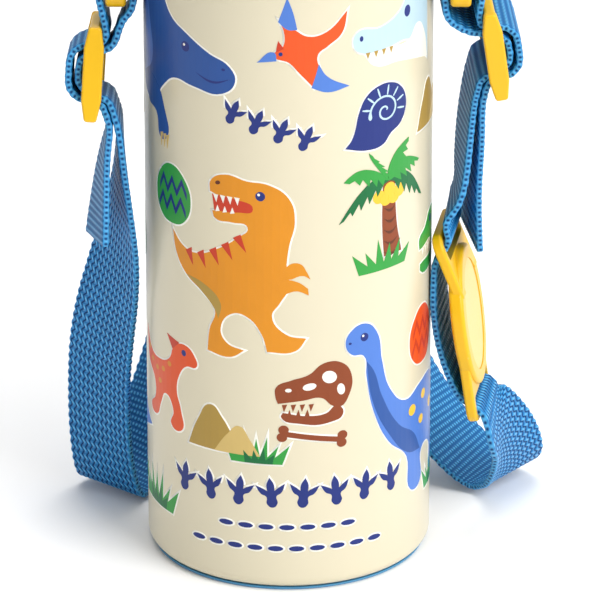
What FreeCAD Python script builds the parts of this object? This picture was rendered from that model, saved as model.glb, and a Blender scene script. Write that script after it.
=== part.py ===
"""Kids' stainless steel water bottle with a flip lid and a webbing carry strap.

Millimetres.  +Z is up, the bottle stands on z = 0 and its axis is the Z axis.
-Y is the front (button side), +Y the back (lid hinge), and the strap hangs from
two studs that stand out along -X and +X.
"""
import FreeCAD, Part
import math
import os

V = FreeCAD.Vector
X_AXIS = V(1, 0, 0)
Y_AXIS = V(0, 1, 0)
Z_AXIS = V(0, 0, 1)
ORIGIN = V(0, 0, 0)

# ---- driving dimensions: flask ------------------------------------------------
BODY_R = 35.5               # outer radius of the steel body
SHELL_WALL = 0.5            # outer steel shell
FLASK_WALL = 0.4            # inner steel flask
VACUUM_GAP = 1.6            # between the two walls
SHOULDER_Z = 178.0          # flat top of the shoulder
SHOULDER_ROUND = 10.5
NECK_R = 24.5               # outer radius of the neck
RIM_Z = 198.0               # rim of the neck
BOTTOM_ROUND = 3.0          # fillet of the body's lower edge
BASE_LINE = 0.6             # how far the base cover stands below the steel

# ---- screw thread between neck and cap ----------------------------------------
THREAD_PITCH = 5.0
THREAD_TURNS = 1.25
THREAD_DEPTH = 1.1
THREAD_ROOT = 1.8           # ridge width at its foot
THREAD_CREST = 0.9
CAP_BORE_R = NECK_R + 1.6
NECK_THREAD_Z = 187.0

# ---- strap collar and studs ---------------------------------------------------
COLLAR_R = 38.5
COLLAR_LOW = 166.0
COLLAR_TOP = 186.0
STUD_Z = 178.0
STUD_R = 4.5
STUD_REACH = 45.0           # |x| of the stud's end
RUNNING_GAP = 0.05          # radial gap of a pin that turns in its hole

# ---- cap, spout, button and lock ----------------------------------------------
CAP_R = 36.0
SKIRT_IN = CAP_R - 1.9       # inside of the cap's outer skirt
CAP_LOW = 187.2
DECK_Z = 203.0              # top face of the cap's deck
DECK_THICK = 3.0
SPOUT_R = 12.9
SPOUT_BORE_R = 11.0
SPOUT_TOP = 213.4
BUTTON_HALF = 6.5
BUTTON_BACK = 31.5          # and its back
BUTTON_LOW = 189.3
BUTTON_HIGH = 198.7
BUTTON_FACE = 37.7          # how far the button's face stands from the axis
LOCK_R = 37.7

# ---- lid and its hinge --------------------------------------------------------
LID_LOW = 203.6
LID_TOP = 222.0
LID_WALL = 2.0
HINGE_Y = 39.3
HINGE_Z = 204.5
KNUCKLE_R = 2.6
HINGE_PIN_R = 1.25
LID_KNUCKLES = (3.9, 8.0)   # |x| range of the lid's two knuckles
CAP_KNUCKLES = (8.3, 12.5)  # |x| range of the cap's two knuckles

# ---- carry strap --------------------------------------------------------------
WEB_WIDTH = 20.0
WEB_THICK = 1.8
LINK_IN = 39.4              # |x| of the link plate's inner face
LINK_OUT = 44.4
LINK_LOW = 145.0
LINK_TOP = 187.5
LINK_HALF = 13.0            # half width of the link plate
SLOT_LOW = 149.5
SLOT_TOP = 157.5
SLOT_HALF = 11.2
GLIDE_LENGTH = 23.4
GLIDE_HALF = 13.0           # half width of the tri-glide
GLIDE_SIDE_BAR = 2.6        # width of its side bars
GLIDE_LEFT = (47.5, 127.3)  # |x| and z of the glide's centre
GLIDE_RIGHT = (49.9, 132.9)
GLIDE_LEAN_LEFT = 3.6       # how far its lower end leans out, degrees
GLIDE_LEAN_RIGHT = 8.5
LOOP_TILT_LEFT = -11.0      # the loops hang askew about X, degrees
LOOP_TILT_RIGHT = 5.0
LOOP_YAW_RIGHT = 4.0        # and the +X one about Z
LOOP_PIVOT_Z = 153.5        # height of the webbing in the link's slot
PLATE_CENTRE = V(44.2, 1.0, 59.5)
PLATE_LEAN = -8.5           # degrees about Y
PLATE_YAW = -9.0            # degrees about Z
PLATE_HALF_LENGTH = 25.4
PLATE_THICK = 2.6
PLATE_BEND = 14.0           # its upper end bends towards the bottle, degrees
PLATE_BEND_AT = 14.0        # distance of the bend from the plate's centre
PLATE_SLOT = (18.4, 23.4)   # where each slot lies along the plate

# The webbing's route from the left glide round the back to the right glide.
# Each point: place of the centre line, then the direction across the webbing.
LEFT_RUN = [
    ((-41.0, -7.0, 106.5), (0.06, -0.99, 0.10)),
    ((-40.9, -5.8, 95.0), (0.20, -0.97, 0.05)),
    ((-41.7, -3.0, 82.0), (0.45, -0.89, 0.0)),
    ((-43.6, 1.5, 69.0), (0.60, -0.80, 0.0)),
    ((-46.0, 6.5, 56.5), (0.69, -0.72, 0.0)),
    ((-47.7, 11.5, 43.5), (0.73, -0.68, 0.0)),
    ((-48.2, 15.5, 30.5), (0.75, -0.66, 0.0)),
    ((-48.1, 18.5, 18.0), (0.77, -0.64, 0.0)),
    ((-47.2, 20.5, 8.5), (0.79, -0.61, 0.0)),
    ((-45.8, 23.5, 1.6), (0.80, -0.60, 0.0)),
]
BACK_ARCH = [
    ((-42.0, 28.5, 2.4), (0.84, -0.54, 0.0)),
    ((-37.0, 33.5, 7.3), (0.88, -0.40, -0.24)),
    ((-32.8, 38.0, 16.0), (0.87, -0.35, -0.34)),
    ((-29.0, 42.5, 27.5), (0.78, -0.52, -0.33)),
    ((-26.0, 46.5, 44.0), (0.62, -0.73, -0.27)),
    ((-22.0, 49.0, 62.0), (0.36, -0.91, -0.19)),
    ((-13.0, 50.3, 80.0), (0.10, -0.99, -0.08)),
    ((0.0, 50.5, 88.0), (0.0, -1.0, 0.0)),
    ((13.0, 50.3, 80.0), (-0.08, -0.99, -0.12)),
    ((21.0, 49.5, 63.5), (-0.15, -0.96, -0.22)),
    ((25.0, 48.0, 47.5), (-0.20, -0.92, -0.34)),
    ((28.5, 45.5, 33.0), (-0.22, -0.87, -0.44)),
    ((33.0, 42.5, 21.5), (-0.22, -0.84, -0.50)),
    ((38.5, 39.0, 13.5), (-0.24, -0.86, -0.45)),
    ((43.5, 36.0, 8.0), (-0.32, -0.90, -0.28)),
    ((48.8, 33.5, 3.8), (-0.55, -0.82, -0.12)),
]
RIGHT_RUN = [
    ((54.0, 30.5, 2.2), (-0.74, -0.67, 0.0)),
    ((56.9, 26.5, 5.0), (-0.66, -0.75, 0.03)),
    ((57.3, 20.5, 11.0), (-0.54, -0.84, 0.06)),
    ((56.2, 13.5, 19.0), (-0.44, -0.89, 0.10)),
    ((53.6, 6.5, 27.0), (-0.29, -0.95, 0.10)),
]
ABOVE_PLATE = [
    ((42.2, 1.0, 92.5), (0.05, -1.0, 0.0)),
    ((43.0, 1.6, 101.5), (0.10, -0.99, -0.05)),
    ((43.6, 2.6, 110.0), (0.10, -0.99, -0.10)),
]
# Webbing beside the name plate, in the plate's own frame: out from it, along it.
PLATE_LOWER = [(3.2, -29.0), (2.9, -23.1), (0.0, -20.9), (-3.0, -18.7), (-4.8, -13.0),
               (-6.3, -4.0), (-6.2, 6.0), (-4.9, 13.5)]
# The same past its bend: out from the bent end and along it from the bend.
PLATE_UPPER = [(-3.0, 4.7), (0.0, 6.9), (2.9, 9.1), (3.0, 14.5)]
# Webbing in the glide, in the glide's own frame: out from it, along it.
GLIDE_INNER = [(-7.0, -13.2), (-5.6, -9.6), (-4.3, -6.3), (0.8, -5.1), (3.4, -2.9), (3.6, 0.0),
               (3.4, 2.9), (0.8, 5.1), (-4.7, 6.1)]
GLIDE_OUTER = [(-2.6, 10.8), (-2.6, 7.5), (2.6, 7.0), (5.8, 4.5), (6.0, 0.0), (5.8, -4.5),
               (2.6, -7.0), (-2.6, -7.5), (-3.7, -10.3), (-4.9, -13.5)]
# Webbing round the link plate's lower bar: |x| and z.
LINK_LOOP = [(40.6, 140.0), (37.6, 142.8), (37.4, 149.6), (37.4, 153.9), (41.9, 153.9),
             (46.5, 153.9), (46.6, 148.0)]
TAIL_LEFT = [(44.2, 106.0), (44.4, 97.0), (44.6, 84.5)]
TAIL_RIGHT = [(47.2, 108.5), (46.7, 97.0), (46.8, 87.5), (47.4, 78.5)]


# ---- helpers ------------------------------------------------------------------
def rounded_wire(corners, place):
    """Closed wire through (a, b, radius) corners, put in space by place(a, b)."""
    spans = []
    count = len(corners)
    for i, (a, b, radius) in enumerate(corners):
        here = place(a, b)
        if radius == 0:
            spans.append((here, None, here))
            continue
        back = (place(*corners[i - 1][:2]) - here).normalize()
        ahead = (place(*corners[(i + 1) % count][:2]) - here).normalize()
        half = back.getAngle(ahead) / 2
        cut = radius / math.tan(half)
        inward = (back + ahead).normalize()
        centre = here + inward * (radius / math.sin(half))
        spans.append((here + back * cut, centre - inward * radius, here + ahead * cut))
    edges = []
    for i, (start, middle, end) in enumerate(spans):
        if middle is not None:
            edges.append(Part.Arc(start, middle, end).toShape())
        following = spans[(i + 1) % count][0]
        if (following - end).Length > 1e-6:
            edges.append(Part.LineSegment(end, following).toShape())
    return Part.Wire(edges)


def turned(corners, start=0.0, sweep=360.0):
    """Solid of revolution about Z from (radius, z, fillet) corners."""
    face = Part.Face(rounded_wire(corners, lambda r, z: V(r, 0, z)))
    face.rotate(ORIGIN, Z_AXIS, start)
    return face.revolve(ORIGIN, Z_AXIS, sweep)


def front_arc(r_in, r_out, z_low, z_high, start, end, fillet=0.0):
    """Piece of a ring; its angles are counted from the front, towards +X."""
    corners = [(r_in, z_low, 0), (r_out, z_low, fillet), (r_out, z_high, fillet), (r_in, z_high, 0)]
    return turned(corners, start - 90.0, end - start)


def block(x, y, z):
    """Box from three (low, high) pairs."""
    return Part.makeBox(x[1] - x[0], y[1] - y[0], z[1] - z[0], V(x[0], y[0], z[0]))


def rod_x(radius, x_from, x_to, y, z):
    return Part.makeCylinder(radius, x_to - x_from, V(x_from, y, z), X_AXIS)


def mirrored(shape):
    """The same piece on the other side of the YZ plane."""
    return shape.mirror(ORIGIN, X_AXIS)


def thread_ridge(radius, foot_z, outward):
    """Helical ridge; its foot is sunk 0.2 mm into the wall at the given radius."""
    side = 1 if outward else -1
    height = THREAD_PITCH * THREAD_TURNS
    helix = Part.makeHelix(THREAD_PITCH, height, radius)
    foot = radius - 0.2 * side
    crest = radius + THREAD_DEPTH * side
    section = Part.makePolygon([
        V(foot, 0, -THREAD_ROOT / 2), V(crest, 0, -THREAD_CREST / 2),
        V(crest, 0, THREAD_CREST / 2), V(foot, 0, THREAD_ROOT / 2), V(foot, 0, -THREAD_ROOT / 2)])
    ridge = Part.Wire(helix.Edges).makePipeShell([section], True, True)
    ridge.translate(V(0, 0, foot_z))
    return ridge


def coil(radius, wire_r, pitch, turns):
    """Round-wire coil along +Z from the origin."""
    helix = Part.makeHelix(pitch, pitch * turns, radius)
    section = Part.Wire(Part.makeCircle(wire_r, V(radius, 0, 0), Y_AXIS))
    return Part.Wire(helix.Edges).makePipeShell([section], True, True)


def smooth(points, samples):
    """Even samples on the quadratic B-spline whose control points are given."""
    count = len(points)
    spline = Part.BSplineCurve()
    knots = list(range(count - 1))
    mults = [3] + [1] * (count - 3) + [3]
    spline.buildFromPolesMultsKnots(points, mults, knots, False, 2)
    last = count - 2
    return [spline.value(last * i / (samples - 1)) for i in range(samples)]


# ---- flask --------------------------------------------------------------------
def make_outer_shell():
    """Outer steel wall, open at the mouth and at the bottom, with the neck's thread."""
    inner = BODY_R - SHELL_WALL
    lip = BODY_R - 4.3
    shell = turned([
        (lip, BASE_LINE, 0), (BODY_R, BASE_LINE, BOTTOM_ROUND),
        (BODY_R, SHOULDER_Z, SHOULDER_ROUND), (NECK_R, SHOULDER_Z, 0),
        (NECK_R, RIM_Z, 0), (NECK_R - SHELL_WALL, RIM_Z, 0),
        (NECK_R - SHELL_WALL, SHOULDER_Z - SHELL_WALL, 0),
        (inner, SHOULDER_Z - SHELL_WALL, SHOULDER_ROUND - SHELL_WALL),
        (inner, BASE_LINE + SHELL_WALL, BOTTOM_ROUND - SHELL_WALL),
        (lip, BASE_LINE + SHELL_WALL, 0)])
    return shell.fuse(thread_ridge(NECK_R, NECK_THREAD_Z, True))


def make_inner_flask():
    """Inner steel wall that holds the drink; it meets the shell inside the rim."""
    out = BODY_R - SHELL_WALL - VACUUM_GAP
    inner = out - FLASK_WALL
    neck_out = NECK_R - SHELL_WALL - 0.1
    neck_in = neck_out - FLASK_WALL
    top = SHOULDER_Z - SHELL_WALL - VACUUM_GAP
    low = 6.0
    return turned([
        (0, low, 0), (out, low, 6.0), (out, top, 9.0), (neck_out, top, 0), (neck_out, RIM_Z, 0),
        (neck_in, RIM_Z, 0), (neck_in, top - FLASK_WALL, 0), (inner, top - FLASK_WALL, 8.6),
        (inner, low + FLASK_WALL, 5.6), (0, low + FLASK_WALL, 0)])


def make_bottom_disc():
    """Steel plate that closes the vacuum space at the bottom."""
    return turned([(0, 3.4, 0), (31.6, 3.4, 0), (31.6, 1.4, 0), (32.4, 1.4, 0),
                   (32.4, 4.0, 0.5), (0, 4.0, 0)])


def make_base_cover():
    """Soft foot disc: a plug in the bottom recess with a thin flange below the steel."""
    return turned([(0, 0, 0), (34.1, 0, 0.25), (34.1, BASE_LINE, 0), (31.1, BASE_LINE, 0),
                   (31.1, 3.2, 0.4), (27.0, 3.2, 0.4), (27.0, 1.6, 0), (0, 1.6, 0)])


# ---- strap collar -------------------------------------------------------------
def make_strap_collar():
    """Ring on the shoulder that carries the two studs of the strap."""
    seat = BODY_R + 0.1
    ring = turned([
        (seat, COLLAR_LOW, 0.3), (COLLAR_R, COLLAR_LOW, 2.0), (COLLAR_R, COLLAR_TOP, 1.2),
        (36.0, COLLAR_TOP, 0.5), (36.0, 180.6, 1.0), (27.6, 180.6, 0.6), (27.6, 184.0, 0.4),
        (25.0, 184.0, 0.3), (25.0, SHOULDER_Z + 0.1, 0), (seat, SHOULDER_Z + 0.1, SHOULDER_ROUND)])
    stud = rod_x(STUD_R, 36.8, STUD_REACH, 0, STUD_Z)
    socket = rod_x(2.0, STUD_REACH - 5.0, STUD_REACH, 0, STUD_Z)
    return ring.fuse([stud, mirrored(stud)]).cut(socket).cut(mirrored(socket))


def make_stud_cap():
    """Round head pressed into the stud's end; it keeps the link plate on (+X side)."""
    head = rod_x(6.6, STUD_REACH, STUD_REACH + 2.2, 0, STUD_Z)
    head = head.makeFillet(1.2, [e for e in head.Edges
                                 if e.BoundBox.XMin > STUD_REACH + 2.0 and e.BoundBox.YLength > 6])
    return head.fuse(rod_x(2.0, STUD_REACH - 4.6, STUD_REACH, 0, STUD_Z))


# ---- cap ----------------------------------------------------------------------
def make_cap_base():
    """Screw cap: outer skirt, threaded inner skirt and a deck with the spout's hole."""
    under = DECK_Z - DECK_THICK
    cap = turned([
        (SKIRT_IN, CAP_LOW, 0.4), (CAP_R, CAP_LOW, 0.8), (CAP_R, DECK_Z, 1.0), (12.0, DECK_Z, 0.3),
        (12.0, under, 0), (CAP_BORE_R, under, 0), (CAP_BORE_R, 188.2, 0.3), (27.6, 188.2, 0.5),
        (27.6, under, 0.8), (SKIRT_IN, under, 0.8)])
    cap = cap.fuse(thread_ridge(CAP_BORE_R, NECK_THREAD_Z + THREAD_PITCH / 2, False))
    low, high = CAP_KNUCKLES
    ear = rod_x(KNUCKLE_R, low, high, HINGE_Y, HINGE_Z)
    ear = ear.fuse([block((low, high), (CAP_R - 1.5, HINGE_Y + 0.6), (199.0, DECK_Z)),
                    block((low, high), (HINGE_Y - KNUCKLE_R, HINGE_Y + 0.6), (DECK_Z, HINGE_Z))])
    cap = cap.fuse([ear, mirrored(ear)])
    cap = cap.cut(rod_x(HINGE_PIN_R, -high - 1, high + 1, HINGE_Y, HINGE_Z))
    window = block((-BUTTON_HALF - 0.4, BUTTON_HALF + 0.4), (-CAP_R - 2, -BUTTON_BACK),
                   (BUTTON_LOW - 0.4, BUTTON_HIGH + 0.4))
    arm_slot = block((-4.0, 4.0), (-33.7, -29.1), (under - 1, DECK_Z + 1))
    lock_slot = front_arc(33.0, CAP_R + 2, 192.3, 195.7, 14.0, 28.0)
    return cap.cut(window).cut(arm_slot).cut(lock_slot)


def make_spout():
    """Drinking spout, pushed into the deck from above."""
    return turned([
        (SPOUT_BORE_R, 198.4, 0.3), (11.9, 198.4, 0.3), (11.9, 203.9, 0), (14.6, 203.9, 0.4),
        (14.4, 206.8, 1.0), (SPOUT_R, SPOUT_TOP, 0.9), (SPOUT_BORE_R, SPOUT_TOP, 0.9)])


def make_spout_seal():
    """Silicone ring under the spout's shoulder."""
    return turned([(12.1, 203.0, 0.2), (13.9, 203.0, 0.3), (13.9, 203.9, 0.2), (12.1, 203.9, 0.2)])


def make_neck_gasket():
    """Flat silicone ring between the neck's rim and the cap's deck."""
    return turned([(21.8, RIM_Z + 0.05, 0.4), (CAP_BORE_R - 0.2, RIM_Z + 0.05, 0.3),
                   (CAP_BORE_R - 0.2, 199.95, 0.3), (21.8, 199.95, 0.4)])


def make_hinge_pin():
    high = CAP_KNUCKLES[1]
    return rod_x(HINGE_PIN_R, -high, high, HINGE_Y, HINGE_Z)


def make_hinge_spring():
    """Torsion spring on the hinge pin with one leg on the cap and one on the lid."""
    wire_r = 0.35
    radius = 2.0
    half = 3.0
    turns = 6.5
    spring = coil(radius, wire_r, 2 * half / turns, turns)
    spring.rotate(ORIGIN, Y_AXIS, 90)
    spring.translate(V(-half, HINGE_Y, HINGE_Z))
    reach = 2.75
    low_leg = Part.makeCylinder(wire_r, reach, V(-half, HINGE_Y, HINGE_Z - radius), -Y_AXIS)
    high_leg = Part.makeCylinder(wire_r, reach, V(half, HINGE_Y, HINGE_Z + radius), -Y_AXIS)
    return spring.fuse([low_leg, high_leg])


# ---- button and lock ----------------------------------------------------------
def make_push_button():
    """Push button with the latch arm that reaches up through the deck."""
    pad = block((-BUTTON_HALF, BUTTON_HALF), (-BUTTON_FACE, -BUTTON_BACK),
                (BUTTON_LOW, BUTTON_HIGH))
    pad = pad.makeFillet(1.4, [e for e in pad.Edges if e.BoundBox.YMax < -BUTTON_FACE + 0.1
                               or e.BoundBox.YLength > 3])
    arm = block((-3.4, 3.4), (-32.5, -30.9), (BUTTON_HIGH - 2.5, 207.3))
    foot = block((-3.4, 3.4), (-32.5, -30.9), (BUTTON_LOW + 3, BUTTON_HIGH))
    nose = block((-3.4, 3.4), (-33.1, -32.5), (205.3, 206.9))
    return pad.fuse([arm, foot, nose])


def make_button_spring():
    """Coil spring behind the button, along Y."""
    spring = coil(2.1, 0.25, 0.82, 3.0)
    spring.rotate(ORIGIN, X_AXIS, 90)
    spring.translate(V(0, -28.0, 194.0))
    return spring


def make_lock_slider():
    """Slider that turns about the cap's axis; its tongue blocks the button."""
    grip = front_arc(36.3, LOCK_R, 190.2, 197.8, 21.0, 29.0, 0.4)
    neck = front_arc(31.0, 36.6, 192.7, 195.3, 23.0, 27.0)
    tongue = front_arc(29.4, 31.2, 191.6, 196.4, 15.5, 27.0)
    return grip.fuse([neck, tongue])


# ---- lid ----------------------------------------------------------------------
def make_lid_shell():
    """Domed lid with two hinge knuckles, a thumb lip and the latch's ledge."""
    inner = CAP_R - LID_WALL
    ceiling = LID_TOP - LID_WALL
    lid = turned([
        (inner, LID_LOW, 0.3), (CAP_R, LID_LOW, 0.8), (CAP_R, LID_TOP, 7.0), (0, LID_TOP, 0),
        (0, ceiling, 0), (inner, ceiling, 5.0)])
    low, high = LID_KNUCKLES
    ear = rod_x(KNUCKLE_R, low, high, HINGE_Y, HINGE_Z)
    ear = ear.fuse(block((low, high), (CAP_R - 1.5, HINGE_Y), (HINGE_Z + 0.4, HINGE_Z + KNUCKLE_R)))
    thumb_lip = front_arc(35.0, 38.1, 204.2, 206.4, -13.0, 13.0, 0.7)
    ledge = front_arc(33.4, 34.7, 203.9, 204.9, -7.0, 7.0)
    lid = lid.fuse([ear, mirrored(ear), thumb_lip, ledge])
    return lid.cut(rod_x(HINGE_PIN_R + RUNNING_GAP, -high - 1, high + 1, HINGE_Y, HINGE_Z))


def make_lid_liner():
    """Inner plate of the lid with the ring that holds its gasket."""
    return turned([(0, 217.2, 0), (13.5, 217.2, 0), (13.5, 214.6, 0.4), (16.4, 214.6, 0.6),
                   (16.4, 217.2, 1.0), (28.6, 217.2, 0.6), (28.6, 219.9, 0.6), (0, 219.9, 0)])


def make_lid_gasket():
    """Silicone disc that shuts the spout."""
    return turned([(0, 213.6, 0), (13.3, 213.6, 0.9), (13.3, 217.1, 0.5), (0, 217.1, 0)])


# ---- strap hardware -----------------------------------------------------------
def make_link():
    """Link plate on the +X stud with the slot for the webbing at its lower end."""
    outline = [(9.5, LINK_TOP, 9.3), (-9.5, LINK_TOP, 9.3), (-9.5, 169.0, 6), (-LINK_HALF, 160.0, 6),
               (-LINK_HALF, LINK_LOW, 4), (LINK_HALF, LINK_LOW, 4), (LINK_HALF, 160.0, 6),
               (9.5, 169.0, 6)]
    plate = Part.Face(rounded_wire(outline, lambda y, z: V(LINK_IN, y, z)))
    plate = plate.extrude(V(LINK_OUT - LINK_IN, 0, 0))
    rims = [e for e in plate.Edges if e.BoundBox.XLength < 0.01]
    plate = plate.makeFillet(0.9, rims)
    slot = [(-SLOT_HALF, SLOT_LOW, 1), (SLOT_HALF, SLOT_LOW, 1), (SLOT_HALF, SLOT_TOP, 1),
            (-SLOT_HALF, SLOT_TOP, 1)]
    slot = Part.Face(rounded_wire(slot, lambda y, z: V(LINK_IN - 1, y, z))).extrude(V(8, 0, 0))
    return plate.cut(slot).cut(rod_x(STUD_R + RUNNING_GAP, LINK_IN - 1, LINK_OUT + 1, 0, STUD_Z))


def in_glide(centre, lean, out, along):
    """Point (|x|, z) from the glide's own out and along distances."""
    turn = math.radians(lean)
    return (centre[0] + out * math.cos(turn) - along * math.sin(turn),
            centre[1] + out * math.sin(turn) + along * math.cos(turn))


def make_glide(centre, lean):
    """Tri-glide: a frame with a middle bar that the webbing goes over (+X side)."""
    half = GLIDE_LENGTH / 2
    profile = [(-1.5, -half, 0.9), (1.5, -half, 0.9), (2.45, -6.5, 2), (2.45, 6.5, 2),
               (1.5, half, 0.9), (-1.5, half, 0.9), (-2.45, 6.5, 2), (-2.45, -6.5, 2)]
    side = Part.Face(rounded_wire(profile, lambda x, z: V(x, -GLIDE_HALF, z)))
    side = side.extrude(V(0, GLIDE_SIDE_BAR, 0))
    rims = [e for e in side.Edges if e.BoundBox.YLength < 0.01]
    side = side.makeFillet(0.6, rims)
    other = side.mirror(ORIGIN, Y_AXIS)
    across = (-GLIDE_HALF + 0.8, GLIDE_HALF - 0.8)
    bars = []
    for low, high, thick in ((-half, -half + 3.3, 1.4), (half - 3.3, half, 1.4), (-1.6, 1.6, 1.3)):
        bar = block((-thick, thick), across, (low, high))
        bars.append(bar.makeFillet(0.9, [e for e in bar.Edges if e.BoundBox.YLength > 5]))
    glide = side.fuse([other] + bars)
    glide.rotate(ORIGIN, Y_AXIS, -lean)
    glide.translate(V(centre[0], 0, centre[1]))
    return glide


def loop_route(centre, lean, tail):
    """Centre line (|x|, z) of the webbing's end: up through the glide, round the
    link's lower bar, down through the glide again, and the loose tail."""
    inner = [in_glide(centre, lean, *p) for p in GLIDE_INNER]
    outer = [in_glide(centre, lean, *p) for p in GLIDE_OUTER]
    return inner + LINK_LOOP + outer + tail


def make_loop(centre, lean, tail):
    """Flat strip along the loop route, as wide as the webbing (+X side)."""
    route = loop_route(centre, lean, tail)
    middle = smooth([V(x, 0, z) for x, z in route], 5 * len(route))
    inner = []
    outer = []
    for i, point in enumerate(middle):
        ahead = middle[min(i + 1, len(middle) - 1)] - middle[max(i - 1, 0)]
        aside = V(-ahead.z, 0, ahead.x).normalize() * (WEB_THICK / 2)
        inner.append(point + aside)
        outer.append(point - aside)
    outline = inner + outer[::-1]
    strip = Part.Face(Part.makePolygon(outline + outline[:1])).extrude(V(0, WEB_WIDTH, 0))
    strip.translate(V(0, -WEB_WIDTH / 2, 0))
    return strip


def hang_left(shape):
    """From the +X pattern to the -X side, with that side's tilt."""
    shape = mirrored(shape)
    shape.rotate(V(-LINK_OUT, 0, LOOP_PIVOT_Z), X_AXIS, LOOP_TILT_LEFT)
    return shape


def hang_right(shape):
    pivot = V((LINK_IN + LINK_OUT) / 2, 0, LOOP_PIVOT_Z)
    shape.rotate(pivot, X_AXIS, LOOP_TILT_RIGHT)
    shape.rotate(pivot, Z_AXIS, LOOP_YAW_RIGHT)
    return shape


def strap_end(centre, lean, hang):
    """Lower end of the loop's inner layer, where the long webbing starts."""
    x, z = in_glide(centre, lean, *GLIDE_INNER[0])
    return hang(Part.Vertex(V(x, 0, z))).Point


def plate_rotation():
    lean = FreeCAD.Rotation(Y_AXIS, PLATE_LEAN)
    return FreeCAD.Rotation(Z_AXIS, PLATE_YAW).multiply(lean)


def on_plate(shape):
    """Move a shape from the plate's own frame (x out, z along) to its place."""
    shape.Placement = FreeCAD.Placement(PLATE_CENTRE, plate_rotation())
    return shape


def oval(half_y, half_z, x_from, x_to):
    ellipse = Part.Ellipse(V(0, 0, half_z), V(0, half_y, 0), ORIGIN).toShape()
    ellipse.translate(V(x_from, 0, 0))
    return Part.Face(Part.Wire(ellipse)).extrude(V(x_to - x_from, 0, 0))


def bend_up(shape):
    """Turn the plate's upper end towards the bottle about its bend line."""
    shape.rotate(V(0, 0, PLATE_BEND_AT), Y_AXIS, -PLATE_BEND)
    return shape


def plate_end(low, high):
    """Flat end of the name holder from low to high, with its webbing slot."""
    corner = 4 if high > PLATE_HALF_LENGTH - 1 else 1
    rim = [(-12.4, low, 5 - corner), (12.4, low, 5 - corner), (12.4, high, corner),
           (-12.4, high, corner)]
    rim = Part.Face(rounded_wire(rim, lambda y, z: V(-PLATE_THICK / 2, y, z)))
    rim = rim.extrude(V(PLATE_THICK, 0, 0))
    rim = rim.makeFillet(0.7, [e for e in rim.Edges if e.BoundBox.XLength < 0.01])
    near, far = PLATE_SLOT
    slot = [(-10.6, near, 1), (10.6, near, 1), (10.6, far, 1), (-10.6, far, 1)]
    slot = Part.Face(rounded_wire(slot, lambda y, z: V(-5, y, z))).extrude(V(10, 0, 0))
    return rim, slot


def make_name_frame():
    """Oval name holder with a webbing slot at each end, the upper end bent inwards."""
    body = oval(15.0, 18.2, -1.3, 2.3)
    body = body.makeFillet(1.0, body.Edges)
    lower, lower_slot = plate_end(-3.0, PLATE_HALF_LENGTH)
    upper, upper_slot = plate_end(PLATE_BEND_AT - 6.0, PLATE_HALF_LENGTH)
    lower.rotate(ORIGIN, X_AXIS, 180)
    lower_slot.rotate(ORIGIN, X_AXIS, 180)
    frame = body.fuse([lower, bend_up(upper)])
    frame = frame.cut(lower_slot).cut(bend_up(upper_slot))
    return on_plate(frame.cut(oval(11.3, 14.4, 1.5, 5.0)))


def make_name_card():
    return on_plate(oval(11.2, 14.3, 1.55, 2.0))


def strap_route():
    """Control points of the long webbing and the direction across it at each."""
    spin = plate_rotation()
    across = tuple(spin.multVec(-Y_AXIS))
    bend = FreeCAD.Rotation(Y_AXIS, -PLATE_BEND)
    past = [bend.multVec(V(out, 0, along)) + V(0, 0, PLATE_BEND_AT) for out, along in PLATE_UPPER]
    beside = [V(out, 0, along) for out, along in PLATE_LOWER] + past
    beside = [(PLATE_CENTRE + spin.multVec(point), across) for point in beside]
    start = strap_end(GLIDE_LEFT, GLIDE_LEAN_LEFT, hang_left)
    end = strap_end(GLIDE_RIGHT, GLIDE_LEAN_RIGHT, hang_right)
    tilt = FreeCAD.Rotation(X_AXIS, LOOP_TILT_LEFT)
    turn = FreeCAD.Rotation(Z_AXIS, LOOP_YAW_RIGHT)
    turn = turn.multiply(FreeCAD.Rotation(X_AXIS, LOOP_TILT_RIGHT))
    first = [(start, tuple(tilt.multVec(-Y_AXIS)))]
    last = [(end, tuple(turn.multVec(-Y_AXIS)))]
    return first + LEFT_RUN + BACK_ARCH + RIGHT_RUN + beside + ABOVE_PLATE + last


def make_strap():
    """The long webbing: a flat strip with straight facets between close stations."""
    route = strap_route()
    samples = 3 * len(route)
    middle = smooth([V(*point) for point, across in route], samples)
    widths = smooth([V(*across) for point, across in route], samples)
    rings = []
    for i, point in enumerate(middle):
        ahead = (middle[min(i + 1, samples - 1)] - middle[max(i - 1, 0)]).normalize()
        across = widths[i] - ahead * widths[i].dot(ahead)
        across = across.normalize() * (WEB_WIDTH / 2)
        aside = ahead.cross(across).normalize() * (WEB_THICK / 2)
        rings.append([point + across + aside, point - across + aside,
                      point - across - aside, point + across - aside])
    faces = [triangle(rings[0][0], rings[0][1], rings[0][2]),
             triangle(rings[0][0], rings[0][2], rings[0][3]),
             triangle(rings[-1][0], rings[-1][1], rings[-1][2]),
             triangle(rings[-1][0], rings[-1][2], rings[-1][3])]
    for near, far in zip(rings, rings[1:]):
        for k in range(4):
            n = (k + 1) % 4
            faces.append(triangle(near[k], near[n], far[n]))
            faces.append(triangle(near[k], far[n], far[k]))
    solid = Part.Solid(Part.Shell(faces))
    if solid.Volume < 0:
        solid.reverse()
    length = sum((b - a).Length for a, b in zip(middle, middle[1:]))
    print("long webbing %.0f mm, volume over section times length %.3f"
          % (length, solid.Volume / (length * WEB_WIDTH * WEB_THICK)))
    return solid


def triangle(a, b, c):
    return Part.Face(Part.makePolygon([a, b, c, a]))


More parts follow.
